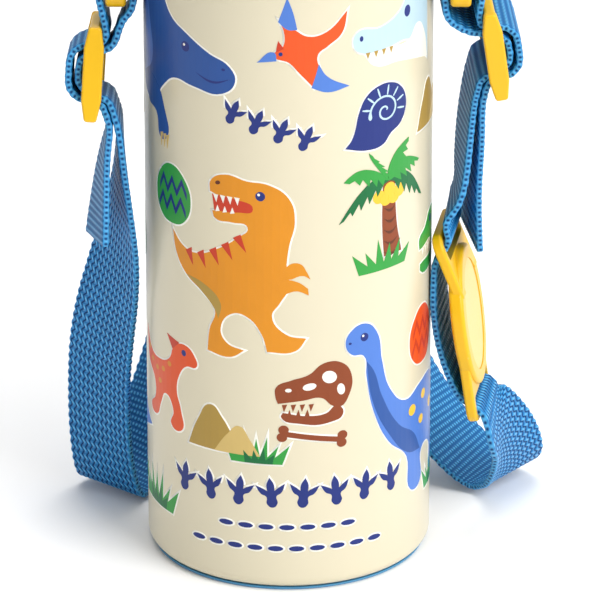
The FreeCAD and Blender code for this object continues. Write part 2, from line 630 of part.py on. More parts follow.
# ---- write every piece --------------------------------------------------------
def main():
    os.makedirs("parts", exist_ok=True)
    pieces = {
        "outer_shell": make_outer_shell(),
        "inner_flask": make_inner_flask(),
        "bottom_disc": make_bottom_disc(),
        "base_cover": make_base_cover(),
        "strap_collar": make_strap_collar(),
        "stud_cap_right": make_stud_cap(),
        "stud_cap_left": mirrored(make_stud_cap()),
        "neck_gasket": make_neck_gasket(),
        "cap_base": make_cap_base(),
        "spout": make_spout(),
        "spout_seal": make_spout_seal(),
        "hinge_pin": make_hinge_pin(),
        "hinge_spring": make_hinge_spring(),
        "push_button": make_push_button(),
        "button_spring": make_button_spring(),
        "lock_slider": make_lock_slider(),
        "lid_shell": make_lid_shell(),
        "lid_liner": make_lid_liner(),
        "lid_gasket": make_lid_gasket(),
        "link_right": make_link(),
        "link_left": mirrored(make_link()),
        "glide_left": hang_left(make_glide(GLIDE_LEFT, GLIDE_LEAN_LEFT)),
        "glide_right": hang_right(make_glide(GLIDE_RIGHT, GLIDE_LEAN_RIGHT)),
        "strap_loop_left": hang_left(make_loop(GLIDE_LEFT, GLIDE_LEAN_LEFT, TAIL_LEFT)),
        "strap_loop_right": hang_right(make_loop(GLIDE_RIGHT, GLIDE_LEAN_RIGHT, TAIL_RIGHT)),
        "strap_webbing": make_strap(),
        "name_frame": make_name_frame(),
        "name_card": make_name_card(),
    }
    for name, shape in pieces.items():
        shape.exportStep("parts/" + name + ".step")
        box = shape.BoundBox
        print("%-18s solids %d valid %s volume %9.1f  x %7.1f %7.1f  y %7.1f %7.1f  z %7.1f %7.1f" % (
            name, len(shape.Solids), shape.isValid(), shape.Volume,
            box.XMin, box.XMax, box.YMin, box.YMax, box.ZMin, box.ZMax))


main()
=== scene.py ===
import math

import bpy
import numpy as np
from mathutils import Matrix, Vector


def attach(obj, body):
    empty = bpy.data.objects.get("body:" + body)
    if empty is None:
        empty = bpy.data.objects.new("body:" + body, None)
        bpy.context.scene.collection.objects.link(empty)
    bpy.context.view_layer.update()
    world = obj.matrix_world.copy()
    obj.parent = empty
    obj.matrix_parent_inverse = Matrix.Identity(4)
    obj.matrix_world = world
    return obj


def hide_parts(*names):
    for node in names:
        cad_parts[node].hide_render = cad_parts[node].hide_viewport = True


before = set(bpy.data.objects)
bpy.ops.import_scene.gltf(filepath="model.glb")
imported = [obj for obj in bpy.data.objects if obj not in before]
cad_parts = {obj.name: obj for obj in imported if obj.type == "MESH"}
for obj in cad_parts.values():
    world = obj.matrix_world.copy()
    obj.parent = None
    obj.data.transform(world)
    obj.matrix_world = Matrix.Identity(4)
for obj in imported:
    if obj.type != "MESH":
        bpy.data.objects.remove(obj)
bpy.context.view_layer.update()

bl_info = {
    "name": "Kids Water Bottle",
    "version": (1, 0, 0),
    "blender": (4, 5, 0),
    "location": "3D Viewport > Sidebar > Bottle",
    "description": "Coat, print, webbing and fittings of a kids' water bottle on its packed frame",
    "category": "Object",
}

MM = 0.001
BODY_R = 0.0355                      # radius of the coated steel body
BARE_FROM = 0.1785                   # height above which the neck's steel is bare
HALF_ROUND = math.pi * BODY_R / MM   # half the way round the body, along its surface, in mm


def tint(red, green, blue):
    """Screen colour, 0 to 255, as the linear values that a shader takes."""
    return tuple((v / 255 / 12.92) if v <= 10 else ((v / 255 + 0.055) / 1.055) ** 2.4
                 for v in (red, green, blue))


# ---- the strap's route, in millimetres, as it lies around the bottle -------------
LINK_IN, LINK_OUT = 39.4, 44.4
LOOP_TILT_LEFT, LOOP_TILT_RIGHT = -11.0, 5.0
LOOP_YAW_RIGHT = 4.0
LOOP_PIVOT_Z = 153.5
PLATE_CENTRE = Vector((44.2, 1.0, 59.5))
PLATE_LEAN, PLATE_YAW = -8.5, -9.0
PLATE_BEND, PLATE_BEND_AT = 14.0, 14.0

# Each point of the long run: its place, then the direction across the webbing.
LEFT_RUN = [
    ((-41.0, -7.0, 106.5), (0.06, -0.99, 0.10)),
    ((-40.9, -5.8, 95.0), (0.20, -0.97, 0.05)),
    ((-41.7, -3.0, 82.0), (0.45, -0.89, 0.0)),
    ((-43.6, 1.5, 69.0), (0.60, -0.80, 0.0)),
    ((-46.0, 6.5, 56.5), (0.69, -0.72, 0.0)),
    ((-47.7, 11.5, 43.5), (0.73, -0.68, 0.0)),
    ((-48.2, 15.5, 30.5), (0.75, -0.66, 0.0)),
    ((-48.1, 18.5, 18.0), (0.77, -0.64, 0.0)),
    ((-47.2, 20.5, 8.5), (0.79, -0.61, 0.0)),
    ((-45.8, 23.5, 1.6), (0.80, -0.60, 0.0)),
]
BACK_ARCH = [
    ((-42.0, 28.5, 2.4), (0.84, -0.54, 0.0)),
    ((-37.0, 33.5, 7.3), (0.88, -0.40, -0.24)),
    ((-32.8, 38.0, 16.0), (0.87, -0.35, -0.34)),
    ((-29.0, 42.5, 27.5), (0.78, -0.52, -0.33)),
    ((-26.0, 46.5, 44.0), (0.62, -0.73, -0.27)),
    ((-22.0, 49.0, 62.0), (0.36, -0.91, -0.19)),
    ((-13.0, 50.3, 80.0), (0.10, -0.99, -0.08)),
    ((0.0, 50.5, 88.0), (0.0, -1.0, 0.0)),
    ((13.0, 50.3, 80.0), (-0.08, -0.99, -0.12)),
    ((21.0, 49.5, 63.5), (-0.15, -0.96, -0.22)),
    ((25.0, 48.0, 47.5), (-0.20, -0.92, -0.34)),
    ((28.5, 45.5, 33.0), (-0.22, -0.87, -0.44)),
    ((33.0, 42.5, 21.5), (-0.22, -0.84, -0.50)),
    ((38.5, 39.0, 13.5), (-0.24, -0.86, -0.45)),
    ((43.5, 36.0, 8.0), (-0.32, -0.90, -0.28)),
    ((48.8, 33.5, 3.8), (-0.55, -0.82, -0.12)),
]
RIGHT_RUN = [
    ((54.0, 30.5, 2.2), (-0.74, -0.67, 0.0)),
    ((56.9, 26.5, 5.0), (-0.66, -0.75, 0.03)),
    ((57.3, 20.5, 11.0), (-0.54, -0.84, 0.06)),
    ((56.2, 13.5, 19.0), (-0.44, -0.89, 0.10)),
    ((53.6, 6.5, 27.0), (-0.29, -0.95, 0.10)),
]
ABOVE_PLATE = [
    ((42.2, 1.0, 92.5), (0.05, -1.0, 0.0)),
    ((43.0, 1.6, 101.5), (0.10, -0.99, -0.05)),
    ((43.6, 2.6, 110.0), (0.10, -0.99, -0.10)),
]
PLATE_LOWER = [(3.2, -29.0), (2.9, -23.1), (0.0, -20.9), (-3.0, -18.7), (-4.8, -13.0),
               (-6.3, -4.0), (-6.2, 6.0), (-4.9, 13.5)]
# The same past its bend: out from the bent end and along it from the bend.
PLATE_UPPER = [(-3.0, 4.7), (0.0, 6.9), (2.9, 9.1), (3.0, 14.5)]
GLIDE_INNER = [(-7.0, -13.2), (-5.6, -9.6), (-4.3, -6.3), (0.8, -5.1), (3.4, -2.9), (3.6, 0.0),
               (3.4, 2.9), (0.8, 5.1), (-4.7, 6.1)]
GLIDE_OUTER = [(-2.6, 10.8), (-2.6, 7.5), (2.6, 7.0), (5.8, 4.5), (6.0, 0.0), (5.8, -4.5),
               (2.6, -7.0), (-2.6, -7.5), (-3.7, -10.3), (-4.9, -13.5)]
LINK_LOOP = [(40.6, 140.0), (37.6, 142.8), (37.4, 149.6), (37.4, 153.9), (41.9, 153.9),
             (46.5, 153.9), (46.6, 148.0)]
TAIL_LEFT = [(44.2, 106.0), (44.4, 97.0), (44.6, 84.5)]
TAIL_RIGHT = [(47.2, 108.5), (46.7, 97.0), (46.8, 87.5), (47.4, 78.5)]
# Each end of the strap by its side: the glide's middle and lean, the loose tail and its turn.
LOOPS = {-1: ((47.5, 127.3), 3.6, TAIL_LEFT, 15.0), 1: ((49.9, 132.9), 8.5, TAIL_RIGHT, 7.0)}

# ---- the weave --------------------------------------------------------------------
SWAY = 0.26           # sideways wave of the outer face's columns, in pitches
SLANT = 0.35          # slant of a float's ends, in floats
INNER_FLOAT = 0.62    # length of an inner face's float, in outer floats
INNER_FROM = 0.1      # where the UV map lays the inner face
EDGE_FROM = 0.2       # where the UV map lays the edges
EDGE_LOOP = 0.00016   # how far the loops along the edges stand out, in metres


# ---- sizes and colours a user would change ---------------------------------------
class BottleSizes(bpy.types.PropertyGroup):
    web_width: bpy.props.FloatProperty(
        name="Webbing width", description="Width of the strap's webbing",
        default=0.020, unit="LENGTH")
    web_thick: bpy.props.FloatProperty(
        name="Webbing thickness", description="Thickness between the crowns of both faces",
        default=0.0018, unit="LENGTH")
    warp_pitch: bpy.props.FloatProperty(
        name="Warp pitch", description="Distance between neighbouring columns of the weave",
        default=0.0015, unit="LENGTH")
    float_length: bpy.props.FloatProperty(
        name="Float length", description="Length of one float of a warp column",
        default=0.0026, unit="LENGTH")
    edge_pitch: bpy.props.FloatProperty(
        name="Edge pitch", description="Distance between the loops along the webbing's edges",
        default=0.0013, unit="LENGTH")
    relief: bpy.props.FloatProperty(
        name="Weave relief", description="How deep the holes between the floats are",
        default=0.00030, unit="LENGTH")
    ink: bpy.props.FloatProperty(
        name="Ink thickness", description="Height of one printed layer over the coat",
        default=0.000018, unit="LENGTH")
    outline: bpy.props.FloatProperty(
        name="White outline", description="Width of the white line round each motif",
        default=0.00045, unit="LENGTH")


def colour_property(name, description, colour):
    return bpy.props.FloatVectorProperty(
        name=name, description=description, default=colour, size=3, min=0, max=1, subtype="COLOR")


class BottleColours(bpy.types.PropertyGroup):
    coat: colour_property("Coat", "Cream coat of the steel body", tint(214, 205, 178))
    blue: colour_property("Strap blue", "Yarn of the webbing", tint(22, 124, 190))
    # Painted highlight: a lighter blue painted on the crowns of the yarn's floats.
    painted_highlight: colour_property("Strap shine", "Crowns of the yarn's floats", tint(96, 182, 230))
    # Painted shade: a dark blue painted on the yarn in the hollows between the floats.
    hollow_shade: colour_property("Webbing hollows", "Yarn deep between the floats", tint(8, 52, 106))
    yellow: colour_property("Fitting yellow", "Moulded strap fittings", tint(228, 178, 18))
    cap: colour_property("Cap blue", "Moulded cap, lid and collar", tint(48, 112, 172))
    foot: colour_property("Foot blue", "Soft foot cover", tint(78, 146, 190))


PRINT = {
    "white": tint(236, 234, 224), "navy": tint(36, 50, 118), "blue": tint(44, 82, 150),
    "sky": tint(80, 122, 200), "pale_blue": tint(182, 208, 220), "orange": tint(214, 138, 32),
    "coral": tint(222, 84, 34), "red": tint(192, 60, 36), "brown": tint(134, 66, 36),
    "dark_brown": tint(96, 48, 28), "tan": tint(204, 176, 108), "ochre": tint(168, 138, 66),
    "green": tint(52, 150, 64), "dark_green": tint(24, 104, 58), "yellow": tint(232, 188, 58),
}


# ---- small helpers ----------------------------------------------------------------
def deselect():
    bpy.ops.object.select_all(action="DESELECT")


def make_active(piece):
    deselect()
    piece.select_set(True)
    bpy.context.view_layer.objects.active = piece


def face_outwards(piece):
    """Turn every face of a closed mesh outwards."""
    make_active(piece)
    bpy.ops.object.mode_set(mode="EDIT")
    bpy.ops.mesh.select_all(action="SELECT")
    bpy.ops.mesh.normals_make_consistent(inside=False)
    bpy.ops.object.mode_set(mode="OBJECT")


def apply_modifier(piece, kind, **values):
    make_active(piece)
    modifier = piece.modifiers.new(kind.title(), kind)
    for key, value in values.items():
        setattr(modifier, key, value)
    bpy.ops.object.modifier_apply(modifier=modifier.name)


def dress(piece, material):
    """Give a piece one material on all its faces."""
    piece.data.materials.clear()
    piece.data.materials.append(material)


def dress_node(node, material):
    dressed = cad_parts[node]
    if not dressed.data.materials:
        dressed.data.materials.append(material)
    for index in range(len(dressed.data.materials)):
        dressed.data.materials[index] = material


def spline_points(points, per_span=8):
    """Points read from the NURBS spline of order 3 with the given control points."""
    curve = bpy.data.curves.new("route", "CURVE")
    curve.dimensions = "3D"
    curve.resolution_u = per_span
    spline = curve.splines.new("NURBS")
    spline.points.add(len(points) - 1)
    for knot, point in zip(spline.points, points):
        knot.co = (*point, 1.0)
    spline.order_u = 3
    spline.use_endpoint_u = True
    holder = bpy.data.objects.new("route", curve)
    bpy.context.collection.objects.link(holder)
    mesh = bpy.data.meshes.new_from_object(holder)
    found = np.array([vertex.co[:] for vertex in mesh.vertices])
    bpy.data.objects.remove(holder)
    bpy.data.curves.remove(curve)
    bpy.data.meshes.remove(mesh)
    return found


# ---- node groups ------------------------------------------------------------------
def new_group(name, inputs, outputs):
    """Empty shader node group with float inputs {name: default} and outputs {name: kind}."""
    group = bpy.data.node_groups.new(name, "ShaderNodeTree")
    group.interface.new_socket("Vector", in_out="INPUT", socket_type="NodeSocketVector")
    for key, value in inputs.items():
        socket = group.interface.new_socket(key, in_out="INPUT", socket_type="NodeSocketFloat")
        socket.default_value = value
    for key, kind in outputs.items():
        group.interface.new_socket(key, in_out="OUTPUT", socket_type=kind)
    return group, group.nodes.new("NodeGroupInput"), group.nodes.new("NodeGroupOutput")


def wire(tree, source, target):
    tree.links.new(source, target)


def math_node(tree, kind, first, second=None):
    """Math node whose operands are sockets or numbers; returns its output."""
    node = tree.nodes.new("ShaderNodeMath")
    node.operation = kind
    for index, operand in enumerate((first, second)):
        if operand is None:
            continue
        if isinstance(operand, (int, float)):
            node.inputs[index].default_value = operand
        else:
            wire(tree, operand, node.inputs[index])
    return node.outputs[0]


def grain_group():
    """Moulding grain: a fine height and a slow, cloudy mask from 0 to 1."""
    group, inside, outside = new_group(
        "Moulding grain", {"Grain scale": 4000.0, "Cloud scale": 60.0},
        {"Height": "NodeSocketFloat", "Cloud": "NodeSocketFloat"})
    for scale, detail, name in (("Grain scale", 3.0, "Height"), ("Cloud scale", 4.0, "Cloud")):
        noise = group.nodes.new("ShaderNodeTexNoise")
        noise.inputs["Detail"].default_value = detail
        wire(group, inside.outputs["Vector"], noise.inputs["Vector"])
        wire(group, inside.outputs[scale], noise.inputs["Scale"])
        wire(group, noise.outputs["Fac"], outside.inputs[name])
    return group


def wear_group():
    """Edge wear: 1 on convex edges, broken up by noise, 0 on flats."""
    group, inside, outside = new_group(
        "Edge wear", {"Amount": 1.0, "Scale": 900.0}, {"Wear": "NodeSocketFloat"})
    geometry = group.nodes.new("ShaderNodeNewGeometry")
    ramp = group.nodes.new("ShaderNodeMapRange")
    ramp.inputs["From Min"].default_value = 0.52
    ramp.inputs["From Max"].default_value = 0.60
    wire(group, geometry.outputs["Pointiness"], ramp.inputs["Value"])
    noise = group.nodes.new("ShaderNodeTexNoise")
    wire(group, inside.outputs["Vector"], noise.inputs["Vector"])
    wire(group, inside.outputs["Scale"], noise.inputs["Scale"])
    broken = math_node(group, "MULTIPLY", ramp.outputs["Result"], noise.outputs["Fac"])
    wire(group, math_node(group, "MULTIPLY", broken, inside.outputs["Amount"]),
         outside.inputs["Wear"])
    return group


def weave_group():
    """Narrow webbing, from a UV map in metres (across, along). Across runs from -0.01 to
    0.01 on the outer face, round INNER_FROM on the inner face and from EDGE_FROM on the edges."""
    group, inside, outside = new_group(
        "Webbing weave", {"Pitch": 0.0015, "Float": 0.0026, "Edge pitch": 0.0013},
        {"Hollow": "NodeSocketFloat", "Crown": "NodeSocketFloat"})
    apart = group.nodes.new("ShaderNodeSeparateXYZ")
    wire(group, inside.outputs["Vector"], apart.inputs[0])
    across, along = apart.outputs["X"], apart.outputs["Y"]
    pitch, length = inside.outputs["Pitch"], inside.outputs["Float"]

    def node(kind, first, second=None):
        return math_node(group, kind, first, second)

    def bell(distance, width):
        scaled = node("DIVIDE", distance, width)
        return node("MULTIPLY", node("MULTIPLY", scaled, scaled), -1.0)

    def off_centre(value):
        return node("ABSOLUTE", node("SUBTRACT", node("FRACT", value), 0.5))

    # Outer face: wavy columns with grooves between them, each column a chain of floats.
    run = node("DIVIDE", along, length)
    wave = node("MULTIPLY", node("SINE", node("MULTIPLY", run, 2 * math.pi)), SWAY)
    column = node("ADD", node("DIVIDE", across, pitch), wave)
    beside = node("SUBTRACT", node("FRACT", column), 0.5)
    slanted = node("ADD", run, node("MULTIPLY", beside, SLANT))
    place = node("SUBTRACT", node("FRACT", slanted), 0.5)
    groove = node("EXPONENT", bell(node("SUBTRACT", 0.5, node("ABSOLUTE", beside)), 0.15))
    dive = node("EXPONENT", bell(node("SUBTRACT", 0.5, node("ABSOLUTE", place)), 0.15))
    outer = node("ADD", node("MULTIPLY", groove, 0.95), node("MULTIPLY", dive, 0.32))
    middle = node("EXPONENT", node("ADD", bell(beside, 0.24), bell(place, 0.17)))
    # Inner face: rows of small raised dots.
    inner_across = node("DIVIDE", node("SUBTRACT", across, INNER_FROM),
                        node("MULTIPLY", pitch, 0.58))
    inner_run = node("DIVIDE", along, node("MULTIPLY", length, INNER_FLOAT))
    dot = node("EXPONENT", node("ADD", bell(off_centre(inner_across), 0.30),
                                bell(off_centre(inner_run), 0.24)))
    inner = node("SUBTRACT", 0.62, dot)
    # Edges: a chain of loops with a hole in each.
    edge_run = off_centre(node("DIVIDE", along, inside.outputs["Edge pitch"]))
    edge_across = node("ABSOLUTE", node("SUBTRACT", across, EDGE_FROM + 0.0009))
    eye = node("EXPONENT", node("ADD", bell(edge_across, 0.00042), bell(edge_run, 0.25)))
    rim = node("SUBTRACT", 1.0, eye)
    loop = node("MULTIPLY", node("EXPONENT", bell(edge_across, 0.0008)), rim)
    edge = node("MULTIPLY", eye, 1.15)
    on_inner = node("GREATER_THAN", across, INNER_FROM / 2)
    on_edge = node("GREATER_THAN", across, 0.15)
    on_outer = node("SUBTRACT", 1.0, on_inner)
    only_inner = node("SUBTRACT", on_inner, on_edge)
    # Hollow is the depth of the weave's hollows; it drives the bump, the roughness and the painted
    # shade in the hollows.
    hollow_shade = node("ADD", node("MULTIPLY", outer, on_outer),
                  node("ADD", node("MULTIPLY", inner, only_inner), node("MULTIPLY", edge, on_edge)))
    clamp = group.nodes.new("ShaderNodeClamp")
    wire(group, hollow_shade, clamp.inputs["Value"])
    wire(group, clamp.outputs["Result"], outside.inputs["Hollow"])
    # Crown marks the floats' crowns, the inner face's dots and the edge loops, where the painted
    # highlight goes.
    raised = node("ADD", node("MULTIPLY", middle, on_outer), node("MULTIPLY", dot, only_inner))
    wire(group, node("ADD", raised, node("MULTIPLY", node("MULTIPLY", loop, 0.7), on_edge)),
         outside.inputs["Crown"])
    return group


GROUPS = {}


def shared_group(name):
    if name not in GROUPS:
        GROUPS[name] = {"grain": grain_group, "wear": wear_group, "weave": weave_group}[name]()
    return GROUPS[name]


def place_group(tree, name, vector, **values):
    node = tree.nodes.new("ShaderNodeGroup")
    node.node_tree = shared_group(name)
    wire(tree, vector, node.inputs["Vector"])
    for key, value in values.items():
        node.inputs[key.replace("_", " ")].default_value = value
    return node


# ---- materials --------------------------------------------------------------------
def new_material(name):
    material = bpy.data.materials.new(name)
    material.use_nodes = True
    tree = material.node_tree
    shader = tree.nodes["Principled BSDF"]
    where = tree.nodes.new("ShaderNodeTexCoord")
    return material, tree, shader, where.outputs["Object"]


def mix_colours(tree, factor, first, second):
    """Mix node between two colours, each a triple or a socket; returns its output."""
    node = tree.nodes.new("ShaderNodeMix")
    node.data_type = "RGBA"
    wire(tree, factor, node.inputs["Factor"])
    for key, colour in (("A", first), ("B", second)):
        socket = [s for s in node.inputs if s.name == key and s.type == "RGBA"][0]
        if isinstance(colour, tuple):
            socket.default_value = (*colour, 1.0)
        else:
            wire(tree, colour, socket)
    return [s for s in node.outputs if s.type == "RGBA"][0]


def shade(colour, factor):
    """The same colour, darker below 1 and lighter above."""
    return tuple(min(1.0, v * factor) for v in colour)


def add_bump(tree, shader, height, distance, strength=1.0):
    """Bump from a height socket into the shader's normal."""
    bump = tree.nodes.new("ShaderNodeBump")
    bump.inputs["Strength"].default_value = strength
    bump.inputs["Distance"].default_value = distance
    wire(tree, height, bump.inputs["Height"])
    wire(tree, bump.outputs["Normal"], shader.inputs["Normal"])


def vary_gloss(tree, shader, mask, low, high):
    """Roughness that runs from low to high with a mask."""
    gloss = tree.nodes.new("ShaderNodeMapRange")
    gloss.inputs["To Min"].default_value = low
    gloss.inputs["To Max"].default_value = high
    wire(tree, mask, gloss.inputs["Value"])
    wire(tree, gloss.outputs["Result"], shader.inputs["Roughness"])


def moulded(name, colour, roughness=0.35, grain=0.00002, wear=0.25):
    """Injection-moulded plastic: fine grain, cloudy gloss and slightly paler edges."""
    material, tree, shader, where = new_material(name)
    texture = place_group(tree, "grain", where, Grain_scale=5200.0, Cloud_scale=70.0)
    edges = place_group(tree, "wear", where, Amount=wear, Scale=1400.0)
    cloudy = mix_colours(tree, texture.outputs["Cloud"], shade(colour, 0.95), shade(colour, 1.04))
    paler = tuple(v + (1 - v) * 0.4 for v in colour)
    wire(tree, mix_colours(tree, edges.outputs["Wear"], cloudy, paler),
         shader.inputs["Base Color"])
    vary_gloss(tree, shader, texture.outputs["Cloud"], roughness * 0.85, roughness * 1.2)
    shader.inputs["Specular IOR Level"].default_value = 0.35
    add_bump(tree, shader, texture.outputs["Height"], grain)
    return material


def coated_steel(colour):
    """Cream powder coat on the body and bare steel on the neck above the shoulder."""
    material, tree, shader, where = new_material("cream_coat")
    texture = place_group(tree, "grain", where, Grain_scale=3000.0, Cloud_scale=18.0)
    apart = tree.nodes.new("ShaderNodeSeparateXYZ")
    wire(tree, where, apart.inputs[0])
    bare = math_node(tree, "GREATER_THAN", apart.outputs["Z"], BARE_FROM)
    coat = mix_colours(tree, texture.outputs["Cloud"], shade(colour, 0.975), shade(colour, 1.01))
    wire(tree, mix_colours(tree, bare, coat, (0.62, 0.61, 0.60)), shader.inputs["Base Color"])
    wire(tree, bare, shader.inputs["Metallic"])
    vary_gloss(tree, shader, texture.outputs["Cloud"], 0.26, 0.34)
    shader.inputs["Specular IOR Level"].default_value = 0.45
    shader.inputs["Coat Weight"].default_value = 0.10
    shader.inputs["Coat Roughness"].default_value = 0.10
    add_bump(tree, shader, texture.outputs["Height"], 0.000006)
    return material


def brushed_metal(name, colour=(0.64, 0.64, 0.63), roughness=0.28):
    """Drawn steel with fine lines round the Z axis."""
    material, tree, shader, where = new_material(name)
    stretch = tree.nodes.new("ShaderNodeMapping")
    stretch.inputs["Scale"].default_value = (1.0, 1.0, 40.0)
    wire(tree, where, stretch.inputs["Vector"])
    texture = place_group(tree, "grain", stretch.outputs["Vector"],
                          Grain_scale=300.0, Cloud_scale=40.0)
    lines = mix_colours(tree, texture.outputs["Cloud"], shade(colour, 0.9), shade(colour, 1.08))
    wire(tree, lines, shader.inputs["Base Color"])
    shader.inputs["Metallic"].default_value = 1.0
    shader.inputs["Roughness"].default_value = roughness
    add_bump(tree, shader, texture.outputs["Height"], 0.000008)
    return material


def silicone(colour):
    """Soft, slightly cloudy rubber of the seals."""
    material = moulded("silicone", colour, roughness=0.55, grain=0.00001, wear=0.0)
    shader = material.node_tree.nodes["Principled BSDF"]
    shader.inputs["Subsurface Weight"].default_value = 0.25
    shader.inputs["Subsurface Radius"].default_value = (0.002, 0.002, 0.002)
    return material


def print_ink(name, colour):
    """Pad-printed ink: even colour with a faint speckle, a little glossier than the coat."""
    material, tree, shader, where = new_material("ink_" + name)
    texture = place_group(tree, "grain", where, Grain_scale=2600.0, Cloud_scale=120.0)
    speckle = mix_colours(tree, texture.outputs["Cloud"], shade(colour, 0.93), shade(colour, 1.05))
    wire(tree, speckle, shader.inputs["Base Color"])
    shader.inputs["Roughness"].default_value = 0.32
    shader.inputs["Specular IOR Level"].default_value = 0.22
    add_bump(tree, shader, texture.outputs["Height"], 0.000005)
    return material


def woven_yarn(colour, painted_highlight, hollow_shade):
    """Webbing: painted shade darkens the yarn in the hollows of the weave, and a painted highlight
    lightens the crowns of its floats.
    """
    material, tree, shader, where = new_material("woven_webbing")
    sizes = bpy.context.scene.bottle_sizes
    uv = tree.nodes.new("ShaderNodeUVMap")
    uv.uv_map = "along"
    weave = place_group(tree, "weave", uv.outputs["UV"], Pitch=sizes.warp_pitch,
                        Float=sizes.float_length, Edge_pitch=sizes.edge_pitch)
    texture = place_group(tree, "grain", where, Grain_scale=2400.0, Cloud_scale=160.0)
    crown = mix_colours(tree, texture.outputs["Cloud"], shade(colour, 0.80), shade(colour, 1.25))
    # Painted highlight on the crowns of the floats.
    lit = mix_colours(tree, weave.outputs["Crown"], crown, painted_highlight)
    # Painted shade: the yarn darkens in the grooves, between the inner dots and in the edge holes.
    wire(tree, mix_colours(tree, weave.outputs["Hollow"], lit, hollow_shade), shader.inputs["Base Color"])
    vary_gloss(tree, shader, weave.outputs["Hollow"], 0.34, 0.75)
    shader.inputs["Specular IOR Level"].default_value = 0.25
    height = math_node(tree, "MULTIPLY", texture.outputs["Height"], 0.15)
    total = math_node(tree, "SUBTRACT", height, weave.outputs["Hollow"])
    add_bump(tree, shader, total, 0.00030, 0.9)
    return material


# ---- webbing ----------------------------------------------------------------------
def weave_height(across, along, pitch, length):
    """Height from 0 in a groove to 1 on a float of the outer face."""
    column = across / pitch + SWAY * np.sin(2 * np.pi * along / length)
    beside = column % 1.0 - 0.5
    place = (along / length + SLANT * beside) % 1.0 - 0.5
    groove = np.exp(-((0.5 - np.abs(beside)) / 0.18) ** 2)
    return 1.0 - 0.6 * groove - 0.4 * np.exp(-((0.5 - np.abs(place)) / 0.18) ** 2)


def lay_out(route):
    """Evenly spaced stations of the strip: distance, middle, width and normal of each."""
    length = bpy.context.scene.bottle_sizes.float_length
    centre = spline_points([Vector(place) * MM for place, across in route])
    rail = spline_points([Vector(place) * MM + Vector(across).normalized() * 0.01
                          for place, across in route])
    steps = np.r_[0, np.cumsum(np.linalg.norm(np.diff(centre, axis=0), axis=1))]
    stations = int(round(steps[-1] / (length / 5.2))) + 1
    along = np.linspace(0, steps[-1], stations)
    middle = np.stack([np.interp(along, steps, centre[:, k]) for k in range(3)], 1)
    width = np.stack([np.interp(along, steps, (rail - centre)[:, k]) for k in range(3)], 1)
    ahead = np.gradient(middle, along, axis=0)
    ahead /= np.linalg.norm(ahead, axis=1)[:, None]
    width -= ahead * (width * ahead).sum(1)[:, None]
    # The width turns gradually, as cloth does, and never within a few millimetres.
    spread = 20
    bell = np.hanning(2 * spread + 1)
    padded = np.pad(width, ((spread, spread), (0, 0)), mode="edge")
    width = np.stack([np.convolve(padded[:, k], bell, mode="valid") for k in range(3)], 1)
    width /= np.linalg.norm(width, axis=1)[:, None]
    normal = np.cross(ahead, width)
    normal /= np.linalg.norm(normal, axis=1)[:, None]
    return along, middle, width, normal


def webbing_ring(sizes):
    """One ring of the strip: outer face, far edge, inner face, near edge. Each entry is its
    distance across, its height in half thicknesses and the face it belongs to."""
    half_width = sizes.web_width / 2
    columns = sizes.web_width / sizes.warp_pitch
    outer = np.linspace(-half_width, half_width, int(columns * 4) + 1)
    inner = np.linspace(half_width, -half_width, int(columns * 2) + 1)
    ring = [(across, 1.0, "outer") for across in outer]
    ring += [(half_width, height, "edge") for height in (0.5, 0.0, -0.5)]
    ring += [(across, -1.0, "inner") for across in inner]
    ring += [(-half_width, height, "edge") for height in (-0.5, 0.0, 0.5)]
    return ring


def raise_yarn(entry, along, sizes):
    """Reach across and lift of one entry of the ring, at every station along the strip."""
    across, height, face = entry
    length, relief = sizes.float_length, sizes.relief
    half_width, half_thick = sizes.web_width / 2, sizes.web_thick / 2
    outwards = math.copysign(1.0, across)
    scallop = EDGE_LOOP * np.sin(2 * np.pi * along / length)
    reach = across + outwards * scallop * (abs(across) > half_width * 0.9)
    lift = height * half_thick
    if face == "outer":
        lift = half_thick - relief * (1 - weave_height(across, along, sizes.warp_pitch, length))
    if face == "inner":
        dots = np.cos(np.pi * along / (length * INNER_FLOAT)) ** 2
        lift = -half_thick + relief * 0.5 * dots
    if face == "edge" and height == 0.0:
        chain = EDGE_LOOP * np.abs(np.cos(np.pi * along / sizes.edge_pitch))
        reach = reach + outwards * (0.00030 - chain)
    elif face == "edge":
        reach = reach + outwards * 0.00018
    elif abs(across) > half_width * 0.985:
        lift = lift * 0.82
    return reach, lift + 0 * along


def map_ring(ring, half_thick):
    """Where the UV map lays each side of the ring, across, as its two ends."""
    spans = []
    for near, far in zip(ring, ring[1:] + ring[:1]):
        if near[2] == far[2] == "outer":
            spans.append((near[0], far[0]))
        elif near[2] == far[2] == "inner":
            spans.append((INNER_FROM + near[0], INNER_FROM + far[0]))
        else:
            spans.append(tuple(EDGE_FROM + half_thick - end[1] * half_thick for end in (near, far)))
    return spans


def strip_mesh(name, vertices, spans, along):
    """Closed mesh through rings of vertices (station, entry, axis), with its UV map."""
    stations, count = vertices.shape[:2]
    faces, uv = [], []
    for i in range(stations - 1):
        base, following = i * count, (i + 1) * count
        for k in range(count):
            n = (k + 1) % count
            low, high = spans[k]
            faces.append((base + k, following + k, following + n, base + n))
            uv += [low, along[i], low, along[i + 1], high, along[i + 1], high, along[i]]
    for station, flip in ((0, 1), (stations - 1, -1)):
        faces.append(tuple(range(station * count, (station + 1) * count))[::flip])
        uv += [EDGE_FROM, along[station]] * count
    mesh = bpy.data.meshes.new(name)
    mesh.from_pydata(vertices.reshape(-1, 3).tolist(), [], faces)
    mesh.update()
    mesh.uv_layers.new(name="along").data.foreach_set("uv", uv)
    return mesh


